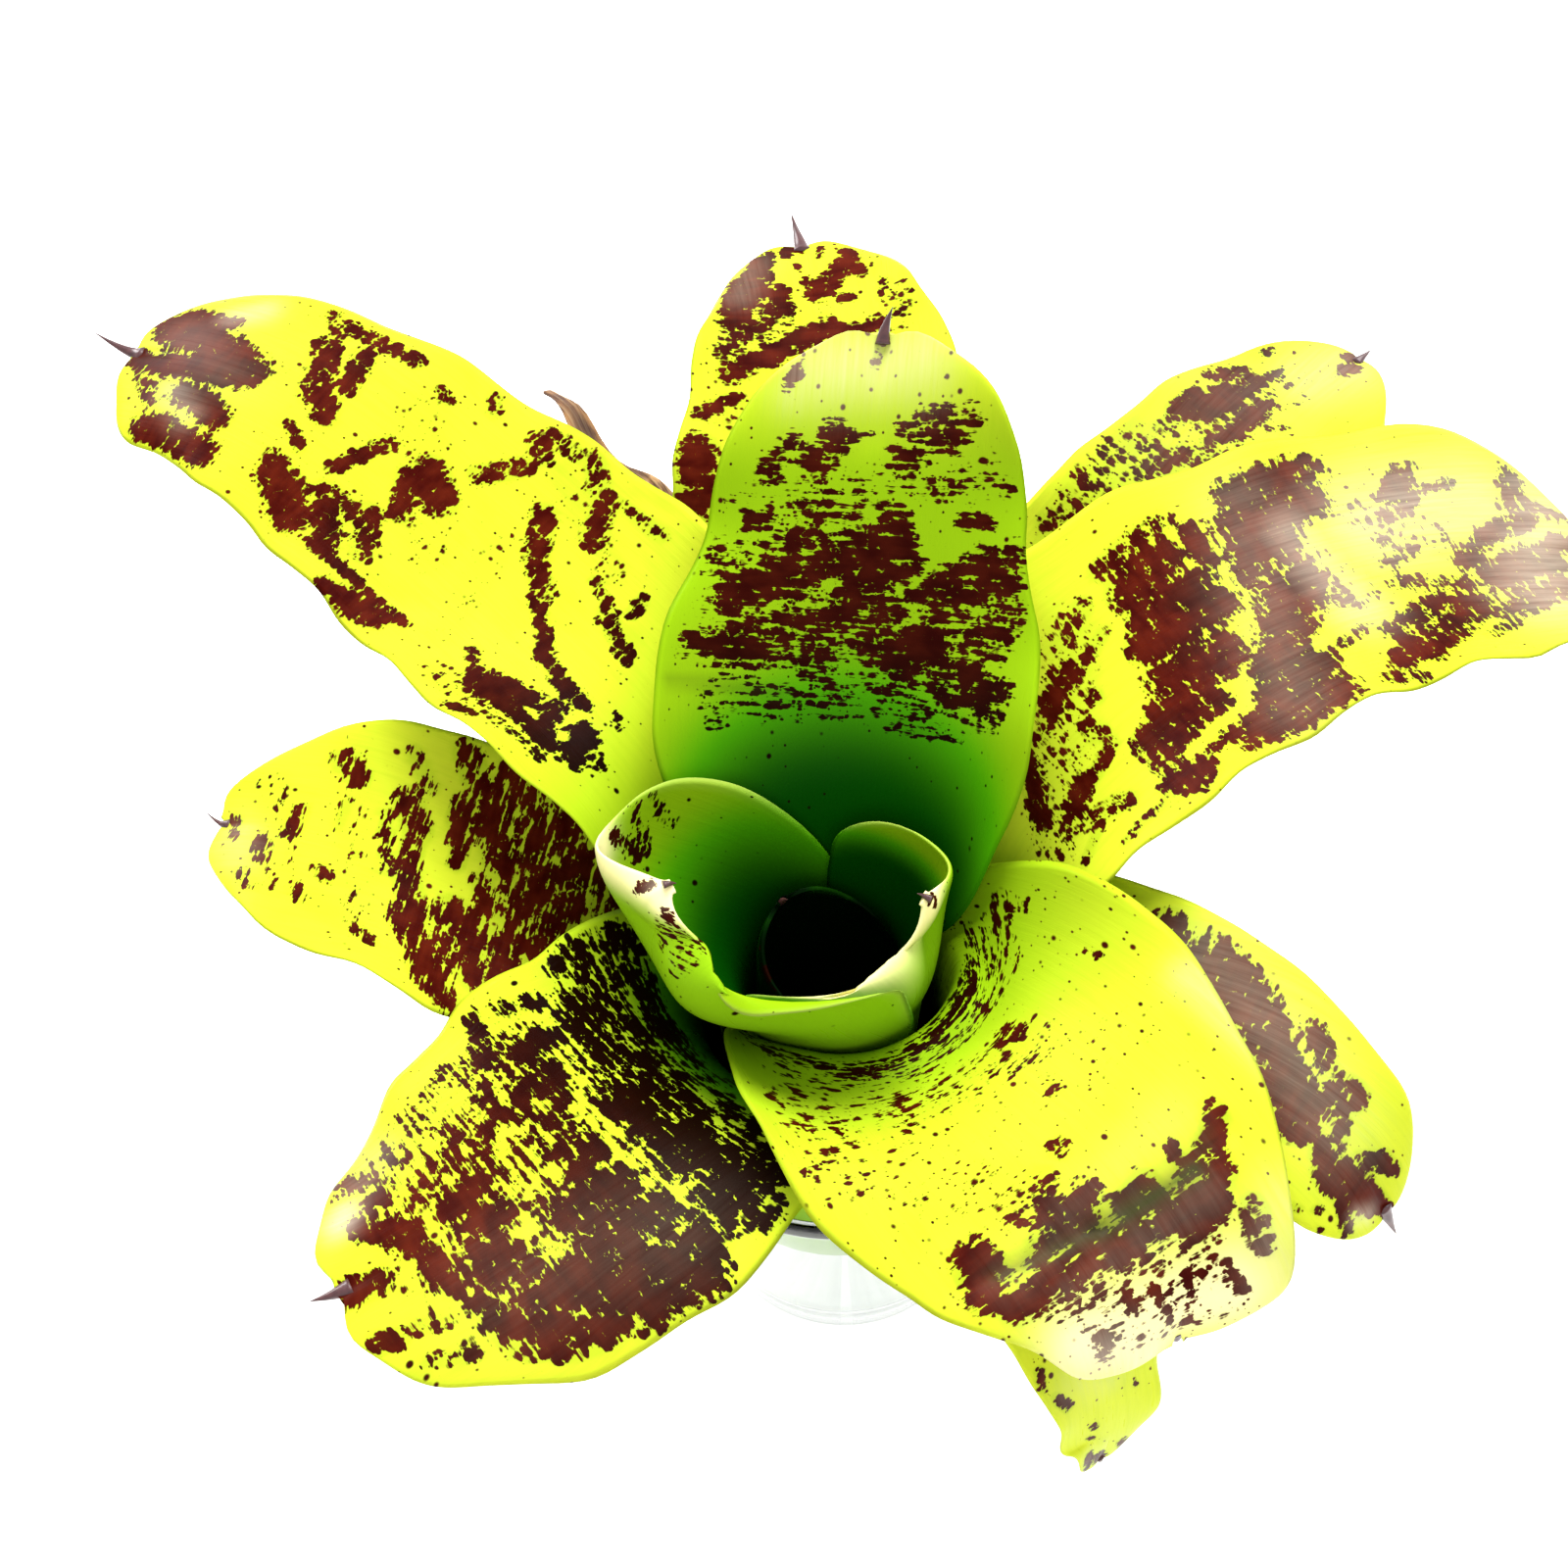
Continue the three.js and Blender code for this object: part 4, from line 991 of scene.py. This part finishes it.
def fibreGroup():
    # fine parallel ribs that run out along a leaf, broken up a little
    tree, given, result = newGroup(
        "fibre",
        [("Place", "NodeSocketVector", None), ("Ribs", "NodeSocketFloat", 9.0),
         ("Stretch", "NodeSocketFloat", 0.5)],
        ["Height", "Streak"])
    lines = joined(tree, given["Stretch"], given["Ribs"], 1.0)
    ribs = noise(tree, scaled(tree, given["Place"], lines), detail=ribbing["detail"],
                 roughness=ribbing["roughness"])
    feed(tree, result, {"Height": ribs, "Streak": band(tree, ribs, *ribbing["streak"])})
    return tree


mottle = mottleGroup()
fibre = fibreGroup()

leafColours = {
    "sun": (0.42, 0.48, 0.018, 1),
    "lime": (0.17, 0.30, 0.003, 1),
    # the next three: the cup's own deeper green with painted shade over it, darkening to painted black
    # shade at its bottom
    "leafGreen": (0.045, 0.23, 0.001, 1),
    "cupGreenAndShade": (0.001, 0.042, 0.0005, 1),          # dark green of the cup
    "wellShade": (0.0005, 0.004, 0.0004, 1),
    "cream": (0.76, 0.68, 0.32, 1),
    "scurf": (0.22, 0.50, 0.008, 1),            # on the undersides
    "brown": (0.027, 0.001, 0.0006, 1),
    "brownLight": (0.066, 0.0065, 0.002, 1),
    # near-black brown: painted shade of the patches near the cup, and their darker clouds
    "brownBlack": (0.004, 0.0008, 0.0003, 1),
    # the bloom's whitish colour, a painted sheen and painted highlights
    "waxAndSheen": (0.72, 0.60, 0.44, 1),
    # painted shade in folds
    "foldShade": (0.014, 0.022, 0.003, 1),
}

leafLook = {
    "roughness": (0.2, 0.2),       # gained from the ribs, and lowest
    "shine": {"Specular IOR Level": 0.02, "Coat Roughness": 0.3},
    "waxCoat": 0.4,
    # painted sheen of the bloom, streaked by the ribs
    "waxFilm": (0.5, 0.05),        # gained from the ribs, and lowest
    "clouds": (0.5, 0.8, 1),       # per centimetre along and across
    "limeFill": (0.0, 0.5),        # a lime halo round the patches
    "limeHalo": 0.35,
    "limeClouds": (0.5, 0.75),
    "limeCloud": 0.3,
    "veins": 0.12,
    "scurf": 0.35,
    # steps of the cup's painted shade: green, then dark green
    "greenFade": (0.0, 0.55),
    "deepFade": (0.35, 1.0),
    "brownFade": (0.3, 0.68),
    # patches darken with painted shade in the cup's green
    "patchShadeInGreen": 0.5,              # how much darker patches are in the green of the cup
    "darkClouds": (0.5, 0.66),
    "darkCloud": 0.45,
    "bump": (0.16, 0.0005),        # strength and distance
}


def leafFlesh(tree, clouds, ribs):
    # yellow that turns green, then dark green and black with painted shade, towards the cup
    look, paint = leafLook, leafColours
    green, cupGreenAndShade, under = (attribute(tree, label) for label in ("green", "cupGreenAndShade", "under"))
    halo = times(tree, band(tree, attribute(tree, "fill"), *look["limeFill"]),
                look["limeHalo"])
    cloud = times(tree, band(tree, clouds, *look["limeClouds"]), look["limeCloud"])
    lime = sums(tree, "MAXIMUM", green, sums(tree, "MAXIMUM", halo, cloud))
    veins = times(tree, ribs["Streak"], look["veins"])
    layers = (
        (lime, "lime"), (veins, "lime"),
        (times(tree, under, look["scurf"]), "scurf"),
        (attribute(tree, "young"), "cream"),
        # then the cup's painted shade: green, dark green and black
        (band(tree, cupGreenAndShade, *look["greenFade"]), "leafGreen"),
        (band(tree, cupGreenAndShade, *look["deepFade"]), "cupGreenAndShade"),
        (attribute(tree, "wellShade"), "wellShade"),
    )
    flesh = paint["sun"]
    for share, colour in layers:
        flesh = blend(tree, share, flesh, paint[colour])
    return flesh, green


def leafMaterial():
    look, paint = leafLook, leafColours
    material, tree, shader = newMaterial("leaf_skin", look["shine"])
    place = leafPlace(tree)
    pattern = useGroup(tree, mottle, {"Place": place, "Fill": attribute(tree, "fill"),
                                      "Dot Share": attribute(tree, "dots"),
                                      "Torn": attribute(tree, "torn")})
    ribs = useGroup(tree, fibre, {"Place": place})
    clouds = noise(tree, scaled(tree, place, look["clouds"]))
    flesh, green = leafFlesh(tree, clouds, ribs)
    brown = blend(tree, band(tree, pattern["Tone"], *look["brownFade"]), paint["brownLight"],
                  paint["brown"])
    # patches turn near-black with painted shade near the cup and in its green, and in darker clouds
    cloud = times(tree, band(tree, clouds, *look["darkClouds"]), look["darkCloud"])
    dark = sums(tree, "MAXIMUM", attribute(tree, "shade"),
                times(tree, green, look["patchShadeInGreen"]))
    brown = blend(tree, sums(tree, "MAXIMUM", dark, cloud), brown, paint["brownBlack"])
    skin = blend(tree, pattern["Mask"], flesh, brown)
    # painted shade along folds
    skin = blend(tree, attribute(tree, "foldShade"), skin, paint["foldShade"])
    waxAndSheen = attribute(tree, "waxAndSheen")
    film = sums(tree, "MULTIPLY_ADD", ribs["Height"], *look["waxFilm"])
    # the bloom's colour is a painted sheen and painted highlights, streaked by the ribs; its coat gives
    # real gloss
    feed(tree, shader, {
        "Base Color": blend(tree, times(tree, waxAndSheen, film), skin, paint["waxAndSheen"]),
        "Coat Weight": times(tree, waxAndSheen, look["waxCoat"]),
        "Normal": bumped(tree, ribs["Height"], *look["bump"]),
        "Roughness": sums(tree, "MULTIPLY_ADD", ribs["Height"], *look["roughness"]),
    })
    return material


hornLook = {
    "shine": {"Roughness": 0.35, "Coat Weight": 0.3},
    "dark": (0.012, 0.003, 0.006, 1), "light": (0.09, 0.03, 0.03, 1), "grain": 900.0,
}


def hornMaterial():
    material, tree, shader = newMaterial("spine_horn", hornLook["shine"])
    grain = noise(tree, objectPlace(tree), hornLook["grain"])
    colour = blend(tree, grain, hornLook["dark"], hornLook["light"])
    feed(tree, shader, {"Base Color": colour})
    return material


dryLook = {
    "shine": {"Roughness": 0.75},
    "tan": (0.32, 0.15, 0.05, 1), "blotch": (0.07, 0.025, 0.012, 1),
    "straw": (0.62, 0.42, 0.22, 1), "black": (0.03, 0.01, 0.006, 1),
    "blotches": (1.6, 2.4, 1),     # per centimetre along and across
    "blotchDetail": 4.0,
    "blotchFade": (0.4, 0.62),
    "ribs": {"Ribs": 14.0, "Stretch": 0.7},
    "strawShare": 0.5,
    "bump": (0.6, 0.0008),
}


def dryMaterial():
    look = dryLook
    material, tree, shader = newMaterial("dry_leaf_paper", look["shine"])
    place = leafPlace(tree)
    ribs = useGroup(tree, fibre, {"Place": place, **look["ribs"]})
    blotches = noise(tree, scaled(tree, place, look["blotches"]),
                     detail=look["blotchDetail"])
    colour = blend(tree, band(tree, blotches, *look["blotchFade"]), look["tan"], look["blotch"])
    straw = times(tree, ribs["Streak"], look["strawShare"])
    colour = blend(tree, straw, colour, look["straw"])
    colour = blend(tree, attribute(tree, "fill"), colour, look["black"])
    feed(tree, shader, {"Base Color": colour,
                        "Normal": bumped(tree, ribs["Height"], *look["bump"])})
    return material


skinMaterial = leafMaterial()
horn = hornMaterial()
dryPaper = dryMaterial()

for layer, leaf in enumerate(leaves):
    node = f"leaf_{layer + 1:02d}"
    piece = makeLeaf(leaf, layer, f"blade_{layer + 1:02d}", [skinMaterial, horn])
    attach(piece, "root")
    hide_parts(node)
print("leaves made:", len(leaves))

withered = makeLeaf(dryLeaf, len(leaves), "withered_blade", [dryPaper])
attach(withered, "root")
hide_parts("dry_leaf")
print("dry leaf made")

tumbler = {
    "footRadius": 31, "rimRadius": 43, "height": 80, "wall": 2.4, "base": 5.6, "footRound": 1.6,
    "curve": 3,            # radius of the curve between the floor and the wall inside
    "curveStart": 0.2,     # radians
    "outerRows": 18, "innerRows": 16, "curveRows": 6, "lipRows": 8, "sides": 128,
}

glassLook = {
    "shine": {"Roughness": 0.02, "Transmission Weight": 1.0, "IOR": 1.45},
    "clear": (0.97, 0.99, 0.98, 1), "faint": (0.93, 0.97, 0.955, 1),
    "seeds": 60.0, "seedDetail": 1.0,
    "heel": (0.36, 0.39, 0.37, 1),     # painted grey shade, darker at the thick foot
    "footShadeFade": (0.001, 0.006),        # heights in metres
    "footShadeShare": 0.85,
}


def glassMaterial():
    look = glassLook
    material, tree, shader = newMaterial("clear_glass", look["shine"])
    place = objectPlace(tree)
    seeds = noise(tree, place, look["seeds"], look["seedDetail"])
    tint = blend(tree, seeds, look["clear"], look["faint"])
    height = put(tree, "ShaderNodeSeparateXYZ", {0: place}).outputs[2]
    # painted grey shade towards the foot
    heel = sums(tree, "SUBTRACT", 1.0, band(tree, height, *look["footShadeFade"]))
    tint = blend(tree, times(tree, heel, look["footShadeShare"]), tint, look["heel"])
    feed(tree, shader, {"Base Color": tint})
    return material


def tumblerProfile():
    foot, rim, height = tumbler["footRadius"], tumbler["rimRadius"], tumbler["height"]
    wall, base, turn = tumbler["wall"], tumbler["base"], tumbler["footRound"]
    curve, rows = tumbler["curve"], tumbler["curveRows"]
    lean = (rim - foot) / height
    top = height - wall / 2
    outer = [(foot + lean * z, z) for z in np.linspace(turn, top, tumbler["outerRows"])]
    inner = [(foot + lean * z - wall, z)
             for z in np.linspace(top, base + curve, tumbler["innerRows"])]
    lipX = foot + lean * top - wall / 2
    lip = [(lipX + wall / 2 * math.cos(a), top + wall / 2 * math.sin(a))
           for a in np.linspace(0, math.pi, tumbler["lipRows"] + 2)[1:-1]]
    floorX = foot + lean * base - wall - curve
    bowl = [(floorX + curve * math.cos(a), base + curve - curve * math.sin(a))
            for a in np.linspace(tumbler["curveStart"], math.pi / 2, rows)]
    heel = [(foot - turn + (turn + lean * turn) * math.sin(a), turn - turn * math.cos(a))
            for a in np.linspace(0, math.pi / 2, rows)[:-1]]
    return [(0, 0), *heel, *outer, *lip, *inner, *bowl, (0, base)]


def turnedPiece(name, profile, sides, material):
    # a profile of radius and height turned about Z, with single points on the axis
    ring = [(r, z) for r, z in profile if r > 0]
    turn = np.linspace(0, 2 * math.pi, sides, endpoint=False)
    points = [(r * math.cos(a), r * math.sin(a), z) for r, z in ring for a in turn]
    faces = tubeFaces(len(ring), sides)
    for height, row in ((profile[0][1], 0), (profile[-1][1], len(ring) - 1)):
        points.append((0, 0, height))
        pole = len(points) - 1
        faces += [(pole, row * sides + j, row * sides + (j + 1) % sides) for j in range(sides)]
    return meshPiece(name, points, faces, [material])


glass = turnedPiece("tumbler_glass", tumblerProfile(), tumbler["sides"], glassMaterial())
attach(glass, "root")
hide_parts("glass_tumbler")
print("tumbler made")

# The stem, with the papery remains of old leaf bases

stemLook = {
    "ringStep": 4.6, "ringDepth": 0.6,
    "endRound": 2,         # mm over which both ends are rounded off
    "rows": 90, "sides": 48,
    "brown": (0.16, 0.11, 0.04, 1), "tan": (0.42, 0.36, 0.14, 1), "dark": (0.10, 0.06, 0.03, 1),
    "rings": (60, 60, 1), "ringScale": 3.0, "ringDetail": 4.0,
    "grain": (900, 900, 60), "grainDetail": 3.0, "grainFade": (0.45, 0.65),
    "shine": {"Roughness": 0.8}, "bump": (0.5, 0.0006),
}

scales = {   # inputs of the tree below, in metres and degrees
    "Count": 17, "Golden Turn": 137.5, "First Height": 0.0105, "Rise": 0.0008,
    "Stem Radius": 0.0079, "Length": 0.0062, "Width": 0.0048, "Flare": 24.0, "Seed": 4,
}

scaleShape = {   # metres
    "smallest": 0.8, "largest": 1.25, "columns": 7, "rows": 8,
    "point": 2.2,          # power that draws a scale to its point
    "bow": -60.0,
    "curl": 0.0009,
    "curlPower": 3.0,
    "thickness": 0.00025,
    "weld": 1e-6,
}

paperLook = {
    "brown": (0.30, 0.16, 0.06, 1), "straw": (0.52, 0.34, 0.16, 1),
    "grain": (1200, 1200, 90), "ribs": {"Ribs": 1.0, "Stretch": 1.0},
    "shine": {"Roughness": 0.7}, "bump": (0.4, 0.0004),
}


def barkMaterial():
    look = stemLook
    material, tree, shader = newMaterial("stem_bark", look["shine"])
    place = objectPlace(tree)
    rings = noise(tree, scaled(tree, place, look["rings"]), look["ringScale"],
                  look["ringDetail"])
    grain = noise(tree, scaled(tree, place, look["grain"]), detail=look["grainDetail"])
    colour = blend(tree, rings, look["brown"], look["tan"])
    colour = blend(tree, band(tree, grain, *look["grainFade"]), colour, look["dark"])
    feed(tree, shader, {"Base Color": colour, "Normal": bumped(tree, grain, *look["bump"])})
    return material


def scalePaperMaterial():
    look = paperLook
    material, tree, shader = newMaterial("scale_paper", look["shine"])
    grain = scaled(tree, objectPlace(tree), look["grain"])
    ribs = useGroup(tree, fibre, {"Place": grain, **look["ribs"]})
    feed(tree, shader, {"Base Color": blend(tree, ribs["Streak"], look["brown"], look["straw"]),
                        "Normal": bumped(tree, ribs["Height"], *look["bump"])})
    return material


def stemProfile():
    low, high, rounded = stemSize["foot"], stemSize["top"], stemLook["endRound"]
    rows = []
    for z in np.linspace(low, high, stemLook["rows"]):
        beat = ((z - low) / stemLook["ringStep"]) % 1
        ended = fade(z, low, low + rounded) * fade(z, high, high - rounded)
        radius = stemSize["radius"] - stemLook["ringDepth"] * (1 - beat) ** 2
        rows.append((radius - rounded * (1 - ended), z))
    return [(0, low), *rows, (0, high)]


def scaleTree():
    # golden-angle spiral of small curved scales round an upright stem
    tree = bpy.data.node_groups.new("leafBaseScales", "GeometryNodeTree")
    tree.interface.new_socket("Geometry", in_out="OUTPUT", socket_type="NodeSocketGeometry")
    for label, value in scales.items():
        kind = "NodeSocketInt" if isinstance(value, int) else "NodeSocketFloat"
        tree.interface.new_socket(label, in_out="INPUT", socket_type=kind)
    tree.interface.new_socket("Material", in_out="INPUT", socket_type="NodeSocketMaterial")
    given, result = tree.nodes.new("NodeGroupInput").outputs, tree.nodes.new("NodeGroupOutput")
    shape = scaleShape
    index = put(tree, "GeometryNodeInputIndex").outputs[0]
    turn = sums(tree, "RADIANS", times(tree, index, given["Golden Turn"]))
    height = sums(tree, "MULTIPLY_ADD", index, given["Rise"], given["First Height"])
    sizes = put(tree, "FunctionNodeRandomValue",
                {2: shape["smallest"], 3: shape["largest"], "Seed": given["Seed"]},
                data_type="FLOAT").outputs[1]
    spot = joined(tree, times(tree, sums(tree, "COSINE", turn), given["Stem Radius"]),
                  times(tree, sums(tree, "SINE", turn), given["Stem Radius"]), height)
    points = put(tree, "GeometryNodePoints", {"Count": given["Count"], "Position": spot})
    # one scale: a small grid bowed across its width and drawn to a point
    sheet = put(tree, "GeometryNodeMeshGrid", {"Size X": 1.0, "Size Y": 1.0,
                                               "Vertices X": shape["columns"],
                                               "Vertices Y": shape["rows"]})
    here = put(tree, "ShaderNodeSeparateXYZ",
               {0: put(tree, "GeometryNodeInputPosition").outputs[0]}).outputs
    reach = sums(tree, "ADD", here[1], 0.5)   # the grid's middle lies at 0
    narrowing = sums(tree, "SUBTRACT", 1.0, sums(tree, "POWER", reach, shape["point"]))
    wide = times(tree, times(tree, here[0], narrowing), given["Width"])
    bow = times(tree, times(tree, wide, wide), shape["bow"])
    curl = times(tree, sums(tree, "POWER", reach, shape["curlPower"]), shape["curl"])
    shaped = joined(tree, sums(tree, "ADD", bow, curl), wide,
                    times(tree, reach, given["Length"]))
    bent = put(tree, "GeometryNodeSetPosition", {"Geometry": sheet.outputs["Mesh"],
                                                 "Position": shaped})
    thick = put(tree, "GeometryNodeExtrudeMesh", {"Mesh": bent.outputs[0], "Individual": False,
                                                  "Offset Scale": shape["thickness"]})
    whole = put(tree, "GeometryNodeJoinGeometry")
    flipped = put(tree, "GeometryNodeFlipFaces", {"Mesh": bent.outputs[0]})
    tree.links.new(flipped.outputs[0], whole.inputs[0])
    tree.links.new(thick.outputs["Mesh"], whole.inputs[0])
    merged = put(tree, "GeometryNodeMergeByDistance", {"Geometry": whole.outputs[0],
                                                       "Distance": shape["weld"]})
    turned = joined(tree, 0.0, sums(tree, "RADIANS", given["Flare"]), turn)
    placed = put(tree, "GeometryNodeInstanceOnPoints", {
        "Points": points.outputs[0], "Instance": merged.outputs[0], "Rotation": turned,
        "Scale": sizes})
    real = put(tree, "GeometryNodeRealizeInstances", {"Geometry": placed.outputs[0]})
    painted = put(tree, "GeometryNodeSetMaterial", {"Geometry": real.outputs[0],
                                                    "Material": given["Material"]})
    tree.links.new(painted.outputs[0], result.inputs[0])
    return tree


def grown(name, tree, values):
    # runs a Geometry Nodes tree with the given inputs and keeps its result as a plain mesh
    holder = added(name + "_holder", bpy.data.meshes.new(name + "_holder"))
    modifier = holder.modifiers.new("grow", "NODES")
    modifier.node_group = tree
    for item in tree.interface.items_tree:
        if item.item_type == "SOCKET" and item.in_out == "INPUT" and item.name in values:
            modifier[item.identifier] = values[item.name]
    seen = holder.evaluated_get(bpy.context.evaluated_depsgraph_get())
    mesh = bpy.data.meshes.new_from_object(seen)
    mesh.name = name
    holder.modifiers.remove(modifier)
    bpy.data.objects.remove(holder)
    return added(name, mesh)


bark = turnedPiece("stem_bark", stemProfile(), stemLook["sides"], barkMaterial())
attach(bark, "root")
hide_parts("stem")
oldBases = grown("old_leaf_bases", scaleTree(), {**scales, "Material": scalePaperMaterial()})
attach(oldBases, "root")
print("stem made")

studio = {
    "world": 0.9,
    "floorSize": 6.0,
    "floorColours": ((0.9, 0.9, 0.9, 1), (0.88, 0.88, 0.88, 1)),
    "floorGrain": 40.0,
    "floorShine": {        # dull, with a faint glow
        "Roughness": 0.9, "Specular IOR Level": 0.0,
        "Emission Color": (1, 1, 1, 1), "Emission Strength": 0.45,
    },
    "aim": (0, 0, 0.12),   # where the lamps point, metres
    "lamps": [             # place, side, power and whether it shows in reflections
        ((0.1, 1.0, 1.5), 1.0, 62, False),
        ((0.80, 0.85, 1.10), 0.8, 12, True),
        ((-0.75, 1.05, 0.90), 0.6, 12, True),
        ((-0.1, -1.3, 0.9), 1.2, 12, False),
    ],
}


def makeFloor():
    half = studio["floorSize"] / 2
    mesh = bpy.data.meshes.new("floor")
    mesh.from_pydata([(-half, -half, 0), (half, -half, 0), (half, half, 0), (-half, half, 0)],
                     [], [(0, 1, 2, 3)])
    material, tree, shader = newMaterial("floor_paper", studio["floorShine"])
    grain = noise(tree, objectPlace(tree), studio["floorGrain"])
    feed(tree, shader, {"Base Color": blend(tree, grain, *studio["floorColours"])})
    mesh.materials.append(material)
    floor = added("floor", mesh)


def makeLights():
    world = bpy.data.worlds.new("studio")
    world.use_nodes = True
    feed(world.node_tree, world.node_tree.nodes["Background"],
         {"Color": (1, 1, 1, 1), "Strength": studio["world"]})
    bpy.context.scene.world = world
    for number, (place, side, power, glossy) in enumerate(studio["lamps"]):
        data = bpy.data.lights.new(f"lamp_{number}", "AREA")
        data.size, data.energy = side, power
        lamp = added(f"lamp_{number}", data)
        lamp.location = place
        aim = Vector(studio["aim"]) - Vector(place)
        lamp.rotation_euler = aim.to_track_quat("-Z", "Y").to_euler()
        lamp.visible_glossy = glossy


makeFloor()
makeLights()
bpy.context.scene.view_settings.view_transform = "Standard"
print("floor and light set")
